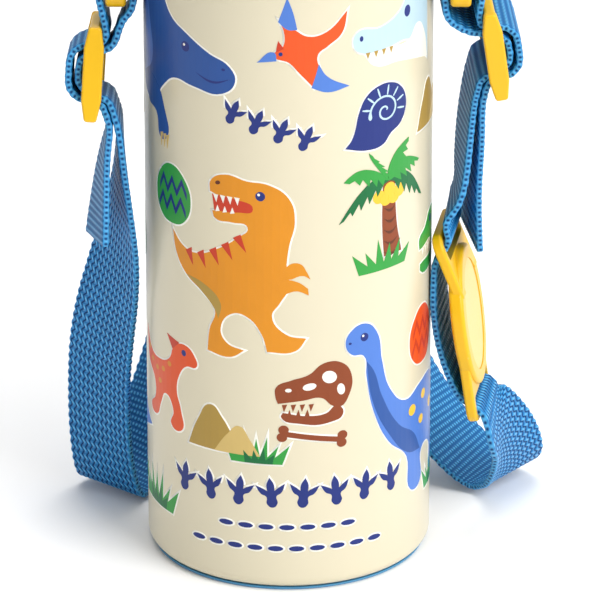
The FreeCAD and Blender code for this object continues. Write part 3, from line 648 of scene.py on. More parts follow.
def make_webbing(name, stands_for, run, first, last):
    """Woven strip over the stations first to last of a run from lay_out."""
    sizes = bpy.context.scene.bottle_sizes
    along, middle, width, normal = (values[first:last + 1] for values in run)
    ring = webbing_ring(sizes)
    vertices = np.zeros((len(along), len(ring), 3))
    for k, entry in enumerate(ring):
        reach, lift = raise_yarn(entry, along, sizes)
        vertices[:, k] = middle + width * reach[:, None] + normal * lift[:, None]
    mesh = strip_mesh(name, vertices, map_ring(ring, sizes.web_thick / 2), along)
    piece = bpy.data.objects.new(name, mesh)
    bpy.context.collection.objects.link(piece)
    face_outwards(piece)
    bpy.ops.object.shade_smooth()
    dress(piece, MATERIALS["webbing"])
    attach(piece, "carry_strap")
    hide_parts(stands_for)
    return piece


def plate_turn():
    """Turn of the name holder."""
    return (Matrix.Rotation(math.radians(PLATE_YAW), 3, "Z")
            @ Matrix.Rotation(math.radians(PLATE_LEAN), 3, "Y"))


def in_glide(centre, lean, out, along):
    """A point of a glide's own pattern, laid into the loop's plane."""
    turn = math.radians(lean)
    return (centre[0] + out * math.cos(turn) - along * math.sin(turn),
            centre[1] + out * math.sin(turn) + along * math.cos(turn))


def hang(point, side):
    """A point of the +X pattern of the loop, hung on its side of the bottle."""
    if side < 0:
        turn = Matrix.Rotation(math.radians(LOOP_TILT_LEFT), 3, "X")
        pivot = Vector((-LINK_OUT, 0, LOOP_PIVOT_Z))
        point = Vector((-point.x, point.y, point.z))
    else:
        turn = (Matrix.Rotation(math.radians(LOOP_YAW_RIGHT), 3, "Z")
                @ Matrix.Rotation(math.radians(LOOP_TILT_RIGHT), 3, "X"))
        pivot = Vector(((LINK_IN + LINK_OUT) / 2, 0, LOOP_PIVOT_Z))
    return turn @ (point - pivot) + pivot


def across_loop(side):
    """Direction across the webbing of a loop."""
    return hang(Vector((0, -1, 0)), side) - hang(Vector((0, 0, 0)), side)


def loop_route(side):
    """Control points of one strap end: glide, link, glide again and the loose tail, which
    turns a little so that its face comes round to the front."""
    centre, lean, tail, tail_turn = LOOPS[side]
    inner = [in_glide(centre, lean, *point) for point in GLIDE_INNER]
    outer = [in_glide(centre, lean, *point) for point in GLIDE_OUTER]
    across = across_loop(side)
    route = [(hang(Vector((x, 0, z)), side), across) for x, z in inner + LINK_LOOP + outer]
    for k, (x, z) in enumerate(tail):
        turn = math.radians(tail_turn) * (k + 1) / len(tail)
        turned = Matrix.Rotation(turn, 3, "Z") @ across
        place = hang(Vector((x, 0, z)), side)
        route.append((place + (across - turned) * 10.0, turned))
    return route


def strap_route():
    """Control points of the whole strap and the direction across it, in millimetres: left
    tail and loop, round the back of the bottle, name holder, right loop and tail."""
    spin = plate_turn()
    across = spin @ Vector((0, -1, 0))
    bend = Matrix.Rotation(math.radians(-PLATE_BEND), 3, "Y")
    beside = [Vector((out, 0, along)) for out, along in PLATE_LOWER]
    beside += [bend @ Vector((out, 0, along)) + Vector((0, 0, PLATE_BEND_AT))
               for out, along in PLATE_UPPER]
    beside = [(PLATE_CENTRE + spin @ point, across) for point in beside]
    between = LEFT_RUN + BACK_ARCH + RIGHT_RUN + beside + ABOVE_PLATE
    return loop_route(-1)[::-1] + between + loop_route(1)


class BOTTLE_OT_weave_strap(bpy.types.Operator):
    """Weave the strap: the long run round the back and the loop at each end"""
    bl_idname = "bottle.weave_strap"
    bl_label = "Weave the strap"

    def execute(self, context):
        run = lay_out(strap_route())
        along, path = run[0], run[1]
        seams = []
        for side in (-1, 1):
            seam = np.array(loop_route(side)[0][0][:]) * MM
            seams.append(int(np.argmin(np.linalg.norm(path - seam, axis=1))))
        start, end = seams
        strap = make_webbing("strap_webbing_woven", "strap_webbing", run, start, end)
        left = make_webbing("strap_loop_left_woven", "strap_loop_left", run, 0, start)
        right = make_webbing("strap_loop_right_woven", "strap_loop_right", run, end, len(path) - 1)
        return {"FINISHED"}


# ---- printed motifs ---------------------------------------------------------------
# Every outline is in millimetres, along the surface and up; a third number marks a
# sharp corner.
def oval(x, z, rx, rz, turn=0.0, count=10):
    """Points of an ellipse, turned by some degrees."""
    c, s = math.cos(math.radians(turn)), math.sin(math.radians(turn))
    ring = [(rx * math.cos(2 * math.pi * i / count), rz * math.sin(2 * math.pi * i / count))
            for i in range(count)]
    return [(x + a * c - b * s, z + a * s + b * c) for a, b in ring]


def zigzag(x, z, width, height, teeth, thick):
    """Band of sharp zigzags, centred on x, z."""
    top, low = [], []
    for i in range(2 * teeth + 1):
        place = x - width / 2 + width * i / (2 * teeth)
        rise = height / 2 if i % 2 else -height / 2
        top.append((place, z + rise + thick / 2, 1))
        low.append((place, z + rise - thick / 2, 1))
    return top + low[::-1]


def footprint(x, z, size, turn=0.0):
    """Track of a three-toed foot."""
    c, s = math.cos(math.radians(turn)), math.sin(math.radians(turn))
    half = [(0.17, -0.36), (0.16, -0.12), (0.33, 0.00), (0.48, 0.30, 1), (0.24, 0.17),
            (0.12, 0.08, 1), (0.12, 0.30)]
    whole = [(0, -0.50)] + half + [(0, 0.54, 1)] + [(-p[0], *p[1:]) for p in half[::-1]]
    return [(x + (p[0] * c - p[1] * s) * size, z + (p[0] * s + p[1] * c) * size, *p[2:])
            for p in whole]


def tuft(x, z, width, height, blades):
    """Tuft of grass with pointed blades of uneven height."""
    points = [(x - width / 2, z, 1)]
    for i in range(blades):
        share = (i + 0.5) / blades
        lean = (share - 0.5) * width * 0.5
        tall = height * (1.0 - 0.9 * abs(share - 0.5)) * (0.8 if i % 2 else 1.0)
        points.append((x - width / 2 + width * share + lean, z + tall, 1))
        if i < blades - 1:
            points.append((x - width / 2 + width * (i + 1) / blades, z + height * 0.22, 1))
    return points + [(x + width / 2, z, 1)]


def shifted(outline, x, z):
    return [(x + p[0], z + p[1], *p[2:]) for p in outline]


def inked(colour, *outlines):
    """The outlines, each with the colour it is printed in."""
    return [(colour, outline) for outline in outlines]


def hunter_dinosaur(x, z):
    """Two-legged dinosaur walking to the right that looks back over its striped tail."""
    body = [(-6.8, 18.6, 1), (-6.6, 21.4), (-2.6, 23.6), (3.0, 22.6), (8.6, 22.0), (13.4, 18.6),
            (14.8, 12.6), (13.4, 6.2), (12.8, 0.4), (13.4, -4.4), (11.0, -9.0), (9.2, -12.2),
            (12.6, -17.0), (17.6, -18.2, 1), (15.0, -21.4), (8.0, -21.8, 1), (6.6, -17.2),
            (3.0, -13.0), (-0.8, -12.6), (-4.0, -17.0), (-2.6, -20.4), (2.2, -22.0, 1),
            (-1.4, -24.2), (-7.8, -23.6, 1), (-7.2, -18.0), (-5.6, -12.4), (-9.2, -8.6),
            (-14.6, -5.0), (-18.0, -0.4), (-19.4, 5.4, 1), (-15.8, 2.2), (-11.4, 1.2),
            (-4.8, 3.8), (0.6, 7.6), (3.2, 10.6), (-0.8, 11.4), (-5.4, 11.8), (-6.2, 13.6, 1),
            (2.6, 15.4, 1)]
    mouth = [(-5.6, 13.8, 1), (-6.2, 18.0, 1), (0.0, 17.6), (4.6, 15.4), (0.6, 14.2)]
    upper = [[(-5.9 + 1.9 * i, 18.1, 1), (-4.5 + 1.9 * i, 18.0, 1), (-5.0 + 1.9 * i, 16.0, 1)]
             for i in range(4)]
    lower = [[(-5.3 + 2.0 * i, 13.6, 1), (-4.1 + 2.0 * i, 13.9, 1), (-4.7 + 2.0 * i, 15.4, 1)]
             for i in range(3)]
    arms = [[(12.8, 0.8), (16.0, 1.6), (17.8, -0.8, 1), (18.6, -2.6, 1), (16.8, -1.6),
             (12.6, -2.2)],
            [(11.6, -3.0), (15.4, -3.2), (18.0, -5.0, 1), (18.2, -6.8, 1), (15.4, -5.6),
             (11.0, -6.0)]]
    belly = [(-14.6, -5.0, 1), (-9.2, -8.6), (-5.6, -12.4), (-4.6, -14.6, 1), (-4.0, -10.4),
             (-8.4, -6.4)]
    stripes = [[(a - 1.0, b - 0.5, 1), (a + 1.0, b + 0.7, 1), (a + 0.9 + lean, b - 4.0, 1)]
               for a, b, lean in ((-13.6, 1.7, 0.6), (-9.8, 2.0, 0.7), (-6.2, 3.5, 0.9),
                                  (-2.8, 5.5, 1.2), (0.4, 7.9, 1.6))]
    shapes = inked("orange", body, *arms) + inked("ochre", belly) + inked("red", mouth)
    shapes += inked("white", *upper, *lower) + inked("red", *stripes)
    shapes += inked("navy", oval(6.4, 19.0, 1.2, 1.2))
    shapes += inked("white", oval(6.0, 19.4, 0.35, 0.35))
    shapes += inked("dark_brown", oval(-4.6, 21.2, 0.7, 0.5, 20))
    return shapes, x, z


def long_neck(x, z):
    """Four-legged dinosaur with a long neck and yellow spots, looking left."""
    body = [(-18.6, 20.4), (-17.4, 23.6), (-13.2, 25.2), (-9.6, 22.0), (-8.0, 14.0), (-5.2, 5.6),
            (0.6, 0.6), (8.0, 2.4), (16.0, 2.8), (22.0, -1.0), (27.0, -7.4), (33.0, -10.6, 1),
            (26.6, -13.0), (22.6, -15.0), (22.8, -24.4), (17.8, -24.8), (16.6, -17.2),
            (9.6, -15.8), (8.6, -24.4), (3.4, -24.8), (1.4, -15.0), (-5.6, -8.6), (-10.6, 1.0),
            (-12.8, 11.0), (-13.6, 16.6), (-17.0, 17.6)]
    shadow = [(-12.8, 15.0, 1), (-11.0, 4.0), (-5.2, -7.0), (1.8, -14.0), (8.4, -15.4, 1),
              (5.0, -10.0), (-2.0, -5.0), (-8.0, 4.6), (-10.6, 12.0)]
    spots = [oval(a, b, r, r * 0.85) for a, b, r in
             ((4.0, -3.4, 1.7), (10.6, -1.4, 1.5), (9.0, -7.6, 1.4), (16.8, -6.0, 1.7))]
    shapes = inked("sky", body) + inked("blue", shadow) + inked("yellow", *spots)
    shapes += inked("navy", oval(-13.4, 21.6, 1.1, 1.1))
    shapes += inked("white", oval(-13.8, 22.0, 0.3, 0.3))
    return shapes + inked("navy", oval(-17.4, 20.6, 0.4, 0.3)), x, z


def crested_head(x, z):
    """Head, neck and one arm of a blue plant eater that bends in from the left."""
    head = [(-14.5, 20.0, 1), (-8.0, 11.0), (-3.6, 4.6), (2.0, 1.6), (9.0, -2.0), (14.4, -4.4),
            (16.0, -8.0), (12.6, -11.6), (4.0, -11.4), (-2.6, -11.0), (-7.4, -14.4),
            (-13.0, -20.0), (-19.6, -18.0), (-19.6, 20.0, 1)]
    arm = [(-15.6, -14.0), (-9.6, -15.6), (-7.0, -20.0), (-5.4, -27.0), (-8.6, -28.4),
           (-11.0, -22.4), (-16.0, -20.6)]
    claws = [[(a, -27.0, 1), (a + 1.3, -26.6, 1), (a + 0.4, -30.4, 1)]
             for a in (-8.8, -7.4, -6.1)]
    throat = [(-19.0, 12.0, 1), (-15.4, 2.0), (-13.6, -10.0), (-18.8, -14.0, 1)]
    smile = [(14.8, -7.6, 1), (10.0, -8.8), (4.8, -7.6, 1), (10.0, -9.4)]
    shapes = inked("blue", head) + inked("sky", throat) + inked("blue", arm) + inked("tan", *claws)
    shapes += inked("navy", smile, oval(1.6, -1.8, 1.3, 1.3))
    shapes += inked("white", oval(1.2, -1.4, 0.35, 0.35))
    return shapes + inked("navy", oval(12.9, -5.4, 0.5, 0.35)), x, z


def flier(x, z):
    """Winged reptile seen from the side, wings spread, with blue wing tips."""
    body = [(-6.6, -2.6), (-4.4, -0.2), (-4.2, 3.4), (-5.4, 6.4, 1), (-1.6, 4.0), (1.6, 2.2),
            (6.0, 3.0), (11.4, 8.0, 1), (10.0, 2.4), (6.4, -0.6), (4.0, -2.6), (4.4, -6.4, 1),
            (3.0, -11.0, 1), (-0.6, -7.0), (-3.0, -4.4)]
    tips = [[(-5.6, 6.0, 1), (-3.4, 12.2, 1), (-2.0, 8.4), (-1.0, 4.0, 1), (-3.2, 4.0)],
            [(4.2, -5.0, 1), (6.2, -8.2), (12.0, -11.4, 1), (6.4, -12.4), (2.4, -11.0, 1),
             (3.4, -8.0)]]
    crest = [(-6.2, -1.8, 1), (-5.6, 1.2, 1), (-4.2, -0.8, 1)]
    beak = [(-10.8, -4.6, 1), (-6.6, -1.8), (-6.0, -4.0, 1)]
    shapes = inked("coral", body) + inked("red", crest) + inked("sky", *tips, beak)
    return shapes + inked("navy", oval(-5.0, -2.2, 0.5, 0.5)), x, z


def pale_head(x, z):
    """Pale long-snouted head with a white jaw and a row of teeth."""
    head = [(-13.6, 1.0), (-13.0, 4.6), (-6.0, 4.8), (0.4, 7.4), (4.6, 12.0), (10.0, 12.8),
            (13.8, 12.0, 1), (14.6, -9.0, 1), (9.0, -5.0), (4.0, -0.8), (-3.0, -0.8),
            (-10.6, -1.0)]
    jaw = [(-11.0, -1.2, 1), (-3.0, -1.0), (4.2, -0.9), (8.4, 2.2), (12.0, -1.0), (14.4, -8.6, 1),
           (9.0, -7.2), (0.0, -5.4), (-8.0, -4.6)]
    teeth = [[(a, -0.9, 1), (a + 1.3, -0.9, 1), (a + 0.6, -2.6, 1)]
             for a in (-10.4, -8.0, -5.6, -3.2)]
    shapes = inked("pale_blue", head) + inked("white", jaw)
    shapes += inked("navy", oval(3.4, 6.6, 1.2, 1.5), oval(-11.6, 3.0, 0.5, 0.7))
    return shapes + inked("ochre", *teeth), x, z


def spiral_shell(x, z):
    """Coiled shell with ribs and an open mouth at its lower left."""
    rim = [(1.0 + 7.6 * math.cos(a), 0.4 + 6.8 * math.sin(a)) for a in
           [math.radians(d) for d in range(-75, 181, 30)]]
    rim += [(-8.6, -5.4), (-10.4, -7.6, 1), (-4.0, -9.0), (0.6, -8.4)]
    ribs = []
    for i in range(7):
        a = math.radians(-10 + 30 * i)
        ribs.append(oval(1.0 + 5.6 * math.cos(a), 0.4 + 5.0 * math.sin(a), 1.3, 0.24,
                         math.degrees(a), 6))
    outer, inner = [], []
    for i in range(19):
        a = math.radians(200 - 30 * i)
        radius = 5.2 * (1 - i / 21)
        outer.append((1.2 + radius * math.cos(a), 0.2 + radius * 0.9 * math.sin(a)))
        radius -= 0.55
        inner.append((1.2 + radius * math.cos(a), 0.2 + radius * 0.9 * math.sin(a)))
    return inked("navy", rim) + inked("pale_blue", *ribs, outer + inner[::-1]), x, z


def frond(turn, reach, droop, wide):
    """One palm leaf from the crown, arched and toothed along its lower side."""
    rise, lean = math.sin(math.radians(turn)), math.cos(math.radians(turn))

    def on_rib(t, side):
        width = wide * math.sin(math.pi * min(1.0, 0.12 + t * 0.88)) * side
        arch = 7.6 + reach * t * rise - droop * t * t
        return (reach * t * lean - width * rise, arch + width * abs(lean))

    top = [on_rib(t, 1.0) for t in (0.1, 0.35, 0.6, 0.82)]
    low = []
    for i in range(5, 0, -1):
        low.append((*on_rib(i / 6 + 0.08, -1.2), 1))
        low.append((*on_rib(i / 6 - 0.04, -0.2), 1))
    return [(0, 7.6, 1)] + top + [(*on_rib(1.0, 0.0), 1)] + low


def palm(x, z):
    """Palm with a ringed trunk, fruit under its leaves and a tuft at its foot."""
    leaves = [frond(-4, 14.0, 7.0, 2.5), frond(184, 14.5, 7.6, 2.5), frond(28, 14.0, 4.6, 2.6),
              frond(152, 15.0, 5.0, 2.6), frond(56, 13.0, 1.6, 2.4), frond(122, 12.0, 1.6, 2.4)]
    trunk = [(-2.0, 8.0, 1), (2.0, 8.0, 1), (2.8, -4.0), (4.6, -12.0, 1), (-1.6, -12.0, 1),
             (-2.2, -4.0)]
    rings = [[(-1.9, 0.9 - 2.9 * i, 1), (0.6, 0.1 - 2.9 * i), (2.3 + 0.3 * i, 0.9 - 2.9 * i, 1),
              (0.6, -0.7 - 2.9 * i)] for i in range(5)]
    fruit = [oval(a, b, 1.9, 1.7, 0, 8) for a, b in
             ((-3.2, 4.0), (-1.0, 3.0), (1.6, 3.0), (3.6, 4.2), (0.2, 5.4))]
    shapes = inked("brown", trunk) + inked("dark_brown", *rings) + inked("yellow", *fruit)
    shapes += inked("dark_green", *leaves[:2]) + inked("green", *leaves[2:])
    return shapes + inked("green", shifted(tuft(0, 0, 15.0, 9.0, 6), -1.6, -15.4)), x, z


def egg(x, z, colour, line):
    """Egg with two zigzag bands."""
    shell = [(0, 7.6), (4.8, 5.0), (7.0, -0.6), (4.8, -6.2), (0, -7.8), (-4.8, -6.2), (-7.0, -0.6),
             (-4.8, 5.0)]
    bands = [zigzag(0.2, 2.2, 11.0, 3.4, 3, 1.8), zigzag(-0.2, -2.6, 11.0, 3.4, 3, 1.8)]
    return inked(colour, shell) + inked(line, *bands), x, z


def runner(x, z):
    """Small red dinosaur, running to the right."""
    body = [(11.0, 8.8), (8.0, 11.0), (3.6, 9.6), (1.2, 5.4), (-4.0, 3.6), (-9.0, 4.4),
            (-13.4, 9.4, 1), (-11.6, 1.2), (-6.6, -3.2), (-6.4, -7.4), (-9.4, -11.0),
            (-5.4, -12.0), (-3.0, -8.0), (-0.4, -4.6), (3.0, -8.2), (2.0, -12.0), (6.4, -12.2),
            (6.0, -7.0), (4.4, -2.0), (5.6, 2.6), (8.0, 5.4), (11.6, 6.4)]
    marks = [oval(a, b, 0.8, 0.7) for a, b in
             ((-8.0, 2.0), (-5.0, 0.8), (-1.6, 1.6), (-3.4, -2.2), (1.4, 4.0), (-10.6, 4.4))]
    crest = [(2.8, 8.6, 1), (0.4, 12.0, 1), (5.6, 11.0, 1)]
    shapes = inked("coral", body) + inked("red", crest) + inked("orange", *marks)
    return shapes + inked("navy", oval(7.2, 8.8, 0.8, 0.8)), x, z


def hills(x, z):
    """Two hills, the low one before the tall one."""
    tall = [(-8.6, -6.0, 1), (-5.4, 1.4), (-1.6, 6.0), (1.6, 3.2), (4.6, -1.4), (7.6, -6.0, 1)]
    low = [(-0.6, -6.0, 1), (3.2, -0.8), (6.2, 1.6), (9.0, -1.8), (11.6, -6.0, 1)]
    return inked("ochre", tall) + inked("tan", low), x, z


def grass(x, z, size=1.0):
    """Tuft of grass with a small dark one before it."""
    back = tuft(0, 0, 13.0 * size, 8.4 * size, 7)
    front = tuft(0.6 * size, 0, 7.0 * size, 5.0 * size, 4)
    return inked("green", back) + inked("dark_green", front), x, z


def bones(x, z):
    """Long toothed skull of a meat eater, seen from the side, over a single bone."""
    skull = [(-9.8, 1.8), (-9.6, 4.4), (-6.0, 6.2), (-1.6, 7.6), (2.2, 10.4), (6.8, 10.0),
             (9.4, 6.4), (8.8, 1.2), (6.2, -1.8), (3.8, -0.8, 1), (1.6, 1.2), (-3.0, 0.8),
             (-9.2, 0.0, 1)]
    jaw = [(5.6, -1.2), (7.2, -3.6), (3.4, -5.6), (-3.6, -5.4), (-8.4, -3.6), (-8.0, -2.4, 1),
           (-1.6, -3.4), (2.8, -3.0)]
    holes = [oval(3.6, 6.6, 1.9, 1.6, -20), oval(6.6, 3.0, 1.0, 1.5, 10),
             oval(-1.4, 4.4, 1.7, 0.9, 10), oval(-6.6, 3.6, 0.8, 0.5)]
    teeth = [[(a, -0.3, 1), (a + 1.3, -0.2, 1), (a + 0.5, -2.2, 1)]
             for a in (-8.2, -6.0, -3.8, -1.6)]
    bar = [(-7.4, -7.4, 1), (6.6, -9.8, 1), (6.4, -11.2, 1), (-7.6, -8.8, 1)]
    ends = [oval(a, b, 1.3, 1.2, 0, 8) for a, b in
            ((-7.8, -7.0), (-8.2, -9.0), (7.0, -9.4), (6.8, -11.4))]
    teeth += [[(a, -3.3, 1), (a + 1.2, -3.4, 1), (a + 0.7, -1.6, 1)] for a in (-7.0, -4.8, -2.6)]
    return inked("brown", bar, *ends, jaw, skull, *teeth) + inked("white", *holes), x, z


def croc(x, z):
    """Green head that looks left with an open jaw."""
    head = [(-9.4, 2.6), (-5.6, 4.6), (-2.0, 7.6), (2.4, 7.8), (9.0, 4.6), (10.6, -5.0),
            (3.0, -6.6), (-8.6, -6.0), (-8.8, -4.2, 1), (0.6, -1.6), (-9.2, -0.2, 1)]
    teeth = [[(a, -0.4, 1), (a + 1.2, -0.7, 1), (a + 0.5, -2.2, 1)] for a in (-7.6, -5.4, -3.2)]
    shapes = inked("green", head) + inked("navy", oval(-0.4, 5.2, 1.0, 1.0))
    return shapes + inked("white", *teeth), x, z


def motif_list():
    """Every motif of one side of the print, with its place on the surface."""
    found = [crested_head(-29.0, 142.5), flier(3.2, 144.6), pale_head(30.0, 141.6),
             spiral_shell(24.5, 124.5), egg(-33.0, 101.0, "green", "navy"),
             hunter_dinosaur(-13.2, 86.5), palm(27.0, 98.5), hills(47.0, 121.0),
             croc(49.5, 83.5), egg(42.5, 60.5, "coral", "red"), runner(-36.0, 51.0),
             hills(-18.6, 42.5), grass(-8.0, 34.6), bones(6.6, 51.0), long_neck(33.0, 45.0),
             grass(-42.0, 14.5, 1.3), grass(52.0, 17.0, 1.1)]
    steps = [footprint(-13.6 + 6.0 * i, 126.6 - 2.0 * i, 6.6, -24) for i in range(4)]
    row = [footprint(-28.6 + 8.1 * i, 26.8, 7.8, 6 if i % 2 else -6) for i in range(8)]
    dashes = [oval(-16.0 + 5.2 * i, 17.6, 1.9, 0.7) for i in range(7)]
    dashes += [oval(-24.0 + 5.2 * i, 11.8, 1.9, 0.7) for i in range(10)]
    return found + [(inked("navy", *prints), 0, 0) for prints in (steps, row, dashes)]


def stack(shapes):
    """Give each shape a layer above every earlier shape that it may cover."""
    placed = []
    for colour, outline in shapes:
        box = (min(p[0] for p in outline), max(p[0] for p in outline),
               min(p[1] for p in outline), max(p[1] for p in outline))
        level = 1
        for other, beside, layer in placed:
            gap = 0.5 if other == colour else 0.0
            apart = (box[0] + gap > beside[1] or beside[0] + gap > box[1]
                     or box[2] + gap > beside[3] or beside[2] + gap > box[3])
            if not apart:
                level = max(level, layer + 1)
        placed.append((colour, box, level))
    return [(colour, outline, layer)
            for (colour, outline), (_, _, layer) in zip(shapes, placed)]


def flat_shape(outline, grow):
    """Filled flat curve of a closed outline, in metres, in the XY plane."""
    area = sum(a[0] * b[1] - b[0] * a[1] for a, b in zip(outline, outline[1:] + outline[:1]))
    if area < 0:
        outline = outline[::-1]
    curve = bpy.data.curves.new("outline", "CURVE")
    curve.dimensions = "2D"
    curve.fill_mode = "BOTH"
    curve.resolution_u = 6
    curve.offset = grow
    spline = curve.splines.new("BEZIER")
    spline.use_cyclic_u = True
    spline.bezier_points.add(len(outline) - 1)
    for knot, point in zip(spline.bezier_points, outline):
        knot.co = (point[0] * MM, point[1] * MM, 0)
        kind = "VECTOR" if len(point) > 2 else "AUTO"
        knot.handle_left_type = kind
        knot.handle_right_type = kind
    holder = bpy.data.objects.new("outline", curve)
    bpy.context.collection.objects.link(holder)
    return holder


def joined_mesh(holders, name):
    """Convert curves to meshes and join them into one flat piece."""
    deselect()
    for holder in holders:
        holder.select_set(True)
    bpy.context.view_layer.objects.active = holders[0]
    bpy.ops.object.convert(target="MESH")
    bpy.ops.object.join()
    piece = bpy.context.view_layer.objects.active
    piece.name = name
    return piece


def wrap_on_body(piece, height, sink=0.0002):
    """Give a flat print a thickness and lay it round the body's surface."""
    make_active(piece)
    bpy.ops.object.mode_set(mode="EDIT")
    bpy.ops.mesh.select_all(action="SELECT")
    bpy.ops.mesh.remove_doubles(threshold=0.000005)
    step = 2 * MM
    places = [v.co.x for v in piece.data.vertices]
    low, high = min(places), max(places)
    for k in range(int(low / step) - 1, int(high / step) + 2):
        bpy.ops.mesh.select_all(action="SELECT")
        bpy.ops.mesh.bisect(plane_co=(k * step, 0, 0), plane_no=(1, 0, 0))
    bpy.ops.object.mode_set(mode="OBJECT")
    apply_modifier(piece, "SOLIDIFY", thickness=height + sink, offset=-1.0)
    for vertex in piece.data.vertices:
        along, up, out = vertex.co
        radius = BODY_R + height + out
        turn = along / BODY_R
        vertex.co = (radius * math.sin(turn), -radius * math.cos(turn), up)
    face_outwards(piece)


class BOTTLE_OT_print_body(bpy.types.Operator):
    """Print the motifs on the front and the back of the body"""
    bl_idname = "bottle.print_body"
    bl_label = "Print the body"

    def execute(self, context):
        sizes = context.scene.bottle_sizes
        layers = {}
        for turn_round in (0.0, HALF_ROUND):
            for shapes, x, z in motif_list():
                for colour, outline, level in stack(shapes):
                    placed = shifted(outline, x + turn_round, z)
                    layers.setdefault((colour, level), []).append((placed, 0.0))
                    if level == 1 and colour != "white":
                        layers.setdefault(("white", 0), []).append((placed, sizes.outline))
        for (colour, level), outlines in sorted(layers.items(), key=lambda item: item[0][1]):
            holders = [flat_shape(outline, grow) for outline, grow in outlines]
            print_piece = joined_mesh(holders, "print_%s_%d" % (colour, level))
            wrap_on_body(print_piece, sizes.ink * (level + 1))
            dress(print_piece, MATERIALS["ink_" + colour])
            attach(print_piece, "bottle")
        return {"FINISHED"}


# ---- dressed fittings -------------------------------------------------------------
class BOTTLE_OT_coat_flask(bpy.types.Operator):
    """Coat the steel body and finish the flask's other pieces"""
    bl_idname = "bottle.coat_flask"
    bl_label = "Coat the flask"

    def execute(self, context):
        dress_node("outer_shell", MATERIALS["coat"])
        dress_node("inner_flask", MATERIALS["steel"])
        dress_node("bottom_disc", MATERIALS["steel"])
        dress_node("base_cover", MATERIALS["foot"])
        return {"FINISHED"}


class BOTTLE_OT_finish_cap(bpy.types.Operator):
    """Finish the cap, lid, spout, button, lock and hinge"""
    bl_idname = "bottle.finish_cap"
    bl_label = "Finish the cap"

    def execute(self, context):
        for node in ("strap_collar", "stud_cap_left", "stud_cap_right", "cap_base", "lid_shell"):
            dress_node(node, MATERIALS["cap"])
        for node in ("push_button", "lock_slider"):
            dress_node(node, MATERIALS["yellow"])
        for node in ("spout", "lid_liner"):
            dress_node(node, MATERIALS["white"])
        for node in ("neck_gasket", "spout_seal", "lid_gasket"):
            dress_node(node, MATERIALS["silicone"])
        for node in ("hinge_pin", "hinge_spring", "button_spring"):
            dress_node(node, MATERIALS["spring"])
        return {"FINISHED"}


class BOTTLE_OT_finish_fittings(bpy.types.Operator):
    """Finish the moulded strap fittings and the name holder"""
    bl_idname = "bottle.finish_fittings"
    bl_label = "Finish the fittings"

    def execute(self, context):
        for node in ("link_left", "link_right", "glide_left", "glide_right", "name_frame"):
            dress_node(node, MATERIALS["yellow"])
        dress_node("name_card", MATERIALS["card"])
        return {"FINISHED"}


# ---- stage ------------------------------------------------------------------------
AIM = (0, 0, 0.08)                       # the point that the lamps face
CAMERA_PLACE = (0.00284, -1.400, 0.6556)
CAMERA_DIP = 22.92                       # degrees below level
LENS = 365.6


def add_area_light(name, place, aim, size, energy):
    light = bpy.data.lights.new(name, "AREA")
    light.shape = "RECTANGLE"
    light.size, light.size_y = size
    light.energy = energy
    holder = bpy.data.objects.new(name, light)
    bpy.context.collection.objects.link(holder)
    holder.location = place
    holder.rotation_euler = (Vector(aim) - Vector(place)).to_track_quat("-Z", "Y").to_euler()


def lay_floor():
    """Wide pale floor just under the bottle's foot."""
    deselect()
    bpy.ops.mesh.primitive_plane_add(size=8, location=(0, 0, -0.0001))
    floor = bpy.context.active_object
    floor.name = "studio_floor"
    material, tree, shader, where = new_material("pale_floor")
    texture = place_group(tree, "grain", where, Grain_scale=300.0, Cloud_scale=1.2)
    pale = mix_colours(tree, texture.outputs["Cloud"], (0.95, 0.95, 0.95), (0.97, 0.97, 0.97))
    wire(tree, pale, shader.inputs["Base Color"])
    shader.inputs["Roughness"].default_value = 0.9
    dress(floor, material)


def light_studio():
    """Soft white light that falls off towards the left, and three lamps."""
    world = bpy.data.worlds.new("studio")
    bpy.context.scene.world = world
    world.use_nodes = True
    tree = world.node_tree
    background = tree.nodes["Background"]
    background.inputs["Color"].default_value = (1, 1, 1, 1)
    direction = tree.nodes.new("ShaderNodeTexCoord")
    apart = tree.nodes.new("ShaderNodeSeparateXYZ")
    wire(tree, direction.outputs["Generated"], apart.inputs[0])
    side = tree.nodes.new("ShaderNodeMapRange")
    side.inputs["From Min"].default_value = -1.0
    side.inputs["To Min"].default_value = 0.15
    side.inputs["To Max"].default_value = 0.98
    wire(tree, apart.outputs["X"], side.inputs["Value"])
    wire(tree, side.outputs["Result"], background.inputs["Strength"])
    add_area_light("key_right", (0.75, -0.75, 0.85), AIM, (0.7, 0.9), 12.0)
    add_area_light("fill_left", (-0.95, -0.45, 0.5), AIM, (0.12, 1.0), 0.8)
    add_area_light("top", (0.0, 0.1, 1.3), AIM, (0.9, 0.9), 10.0)


def set_camera():
    """Long lens in front of the bottle that looks down on its lower part."""
    camera = bpy.data.cameras.new("camera")
    camera.lens = LENS
    camera.sensor_width = 36.0
    camera.clip_start = 0.05
    camera.clip_end = 20.0
    holder = bpy.data.objects.new("camera", camera)
    bpy.context.collection.objects.link(holder)
    holder.location = CAMERA_PLACE
    holder.rotation_euler = (math.radians(90.0 - CAMERA_DIP), 0.0, 0.0)
    bpy.context.scene.camera = holder


class BOTTLE_OT_set_stage(bpy.types.Operator):
    """Floor, soft studio light and camera"""
    bl_idname = "bottle.set_stage"
    bl_label = "Set the stage"

    def execute(self, context):
        lay_floor()
        light_studio()
        set_camera()
        context.scene.view_settings.view_transform = "Standard"
        return {"FINISHED"}


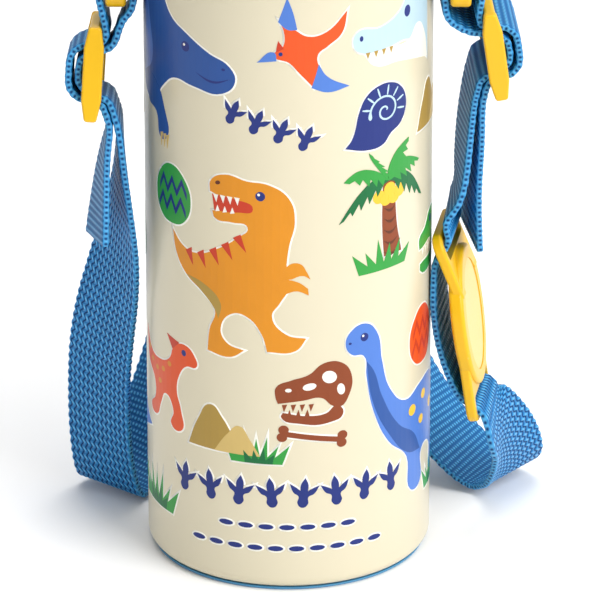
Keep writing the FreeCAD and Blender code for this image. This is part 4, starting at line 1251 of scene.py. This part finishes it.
class BOTTLE_PT_panel(bpy.types.Panel):
    """Sizes, colours and steps of the bottle"""
    bl_label = "Kids' water bottle"
    bl_idname = "BOTTLE_PT_panel"
    bl_space_type = "VIEW_3D"
    bl_region_type = "UI"
    bl_category = "Bottle"

    def draw(self, context):
        for group in (context.scene.bottle_sizes, context.scene.bottle_colours):
            for name in group.bl_rna.properties.keys():
                if name not in ("rna_type", "name"):
                    self.layout.prop(group, name)
        for step in STEPS:
            self.layout.operator(step.bl_idname)


STEPS = (BOTTLE_OT_set_stage, BOTTLE_OT_weave_strap, BOTTLE_OT_coat_flask, BOTTLE_OT_print_body,
         BOTTLE_OT_finish_cap, BOTTLE_OT_finish_fittings)
CLASSES = (BottleSizes, BottleColours) + STEPS + (BOTTLE_PT_panel,)
MATERIALS = {}


def make_materials(colours):
    MATERIALS.update({
        "coat": coated_steel(tuple(colours.coat)),
        "steel": brushed_metal("drawn_steel"),
        "spring": brushed_metal("spring_wire", (0.55, 0.55, 0.56), 0.22),
        "webbing": woven_yarn(tuple(colours.blue), tuple(colours.painted_highlight), tuple(colours.hollow_shade)),
        "yellow": moulded("yellow_fittings", tuple(colours.yellow), roughness=0.32),
        "cap": moulded("blue_cap", tuple(colours.cap), roughness=0.42),
        "foot": moulded("blue_foot", tuple(colours.foot), roughness=0.55),
        "white": moulded("white_parts", (0.86, 0.86, 0.84), roughness=0.30),
        "silicone": silicone((0.78, 0.80, 0.80)),
        "card": moulded("name_card", tint(233, 198, 122), roughness=0.5),
    })
    for name, colour in PRINT.items():
        MATERIALS["ink_" + name] = print_ink(name, colour)


def register():
    for cls in CLASSES:
        bpy.utils.register_class(cls)
    bpy.types.Scene.bottle_sizes = bpy.props.PointerProperty(type=BottleSizes)
    bpy.types.Scene.bottle_colours = bpy.props.PointerProperty(type=BottleColours)


def unregister():
    del bpy.types.Scene.bottle_colours
    del bpy.types.Scene.bottle_sizes
    for cls in reversed(CLASSES):
        bpy.utils.unregister_class(cls)


def main():
    register()
    make_materials(bpy.context.scene.bottle_colours)
    for step in STEPS:
        group, name = step.bl_idname.split(".")
        getattr(getattr(bpy.ops, group), name)()


if __name__ == "__main__":
    main()
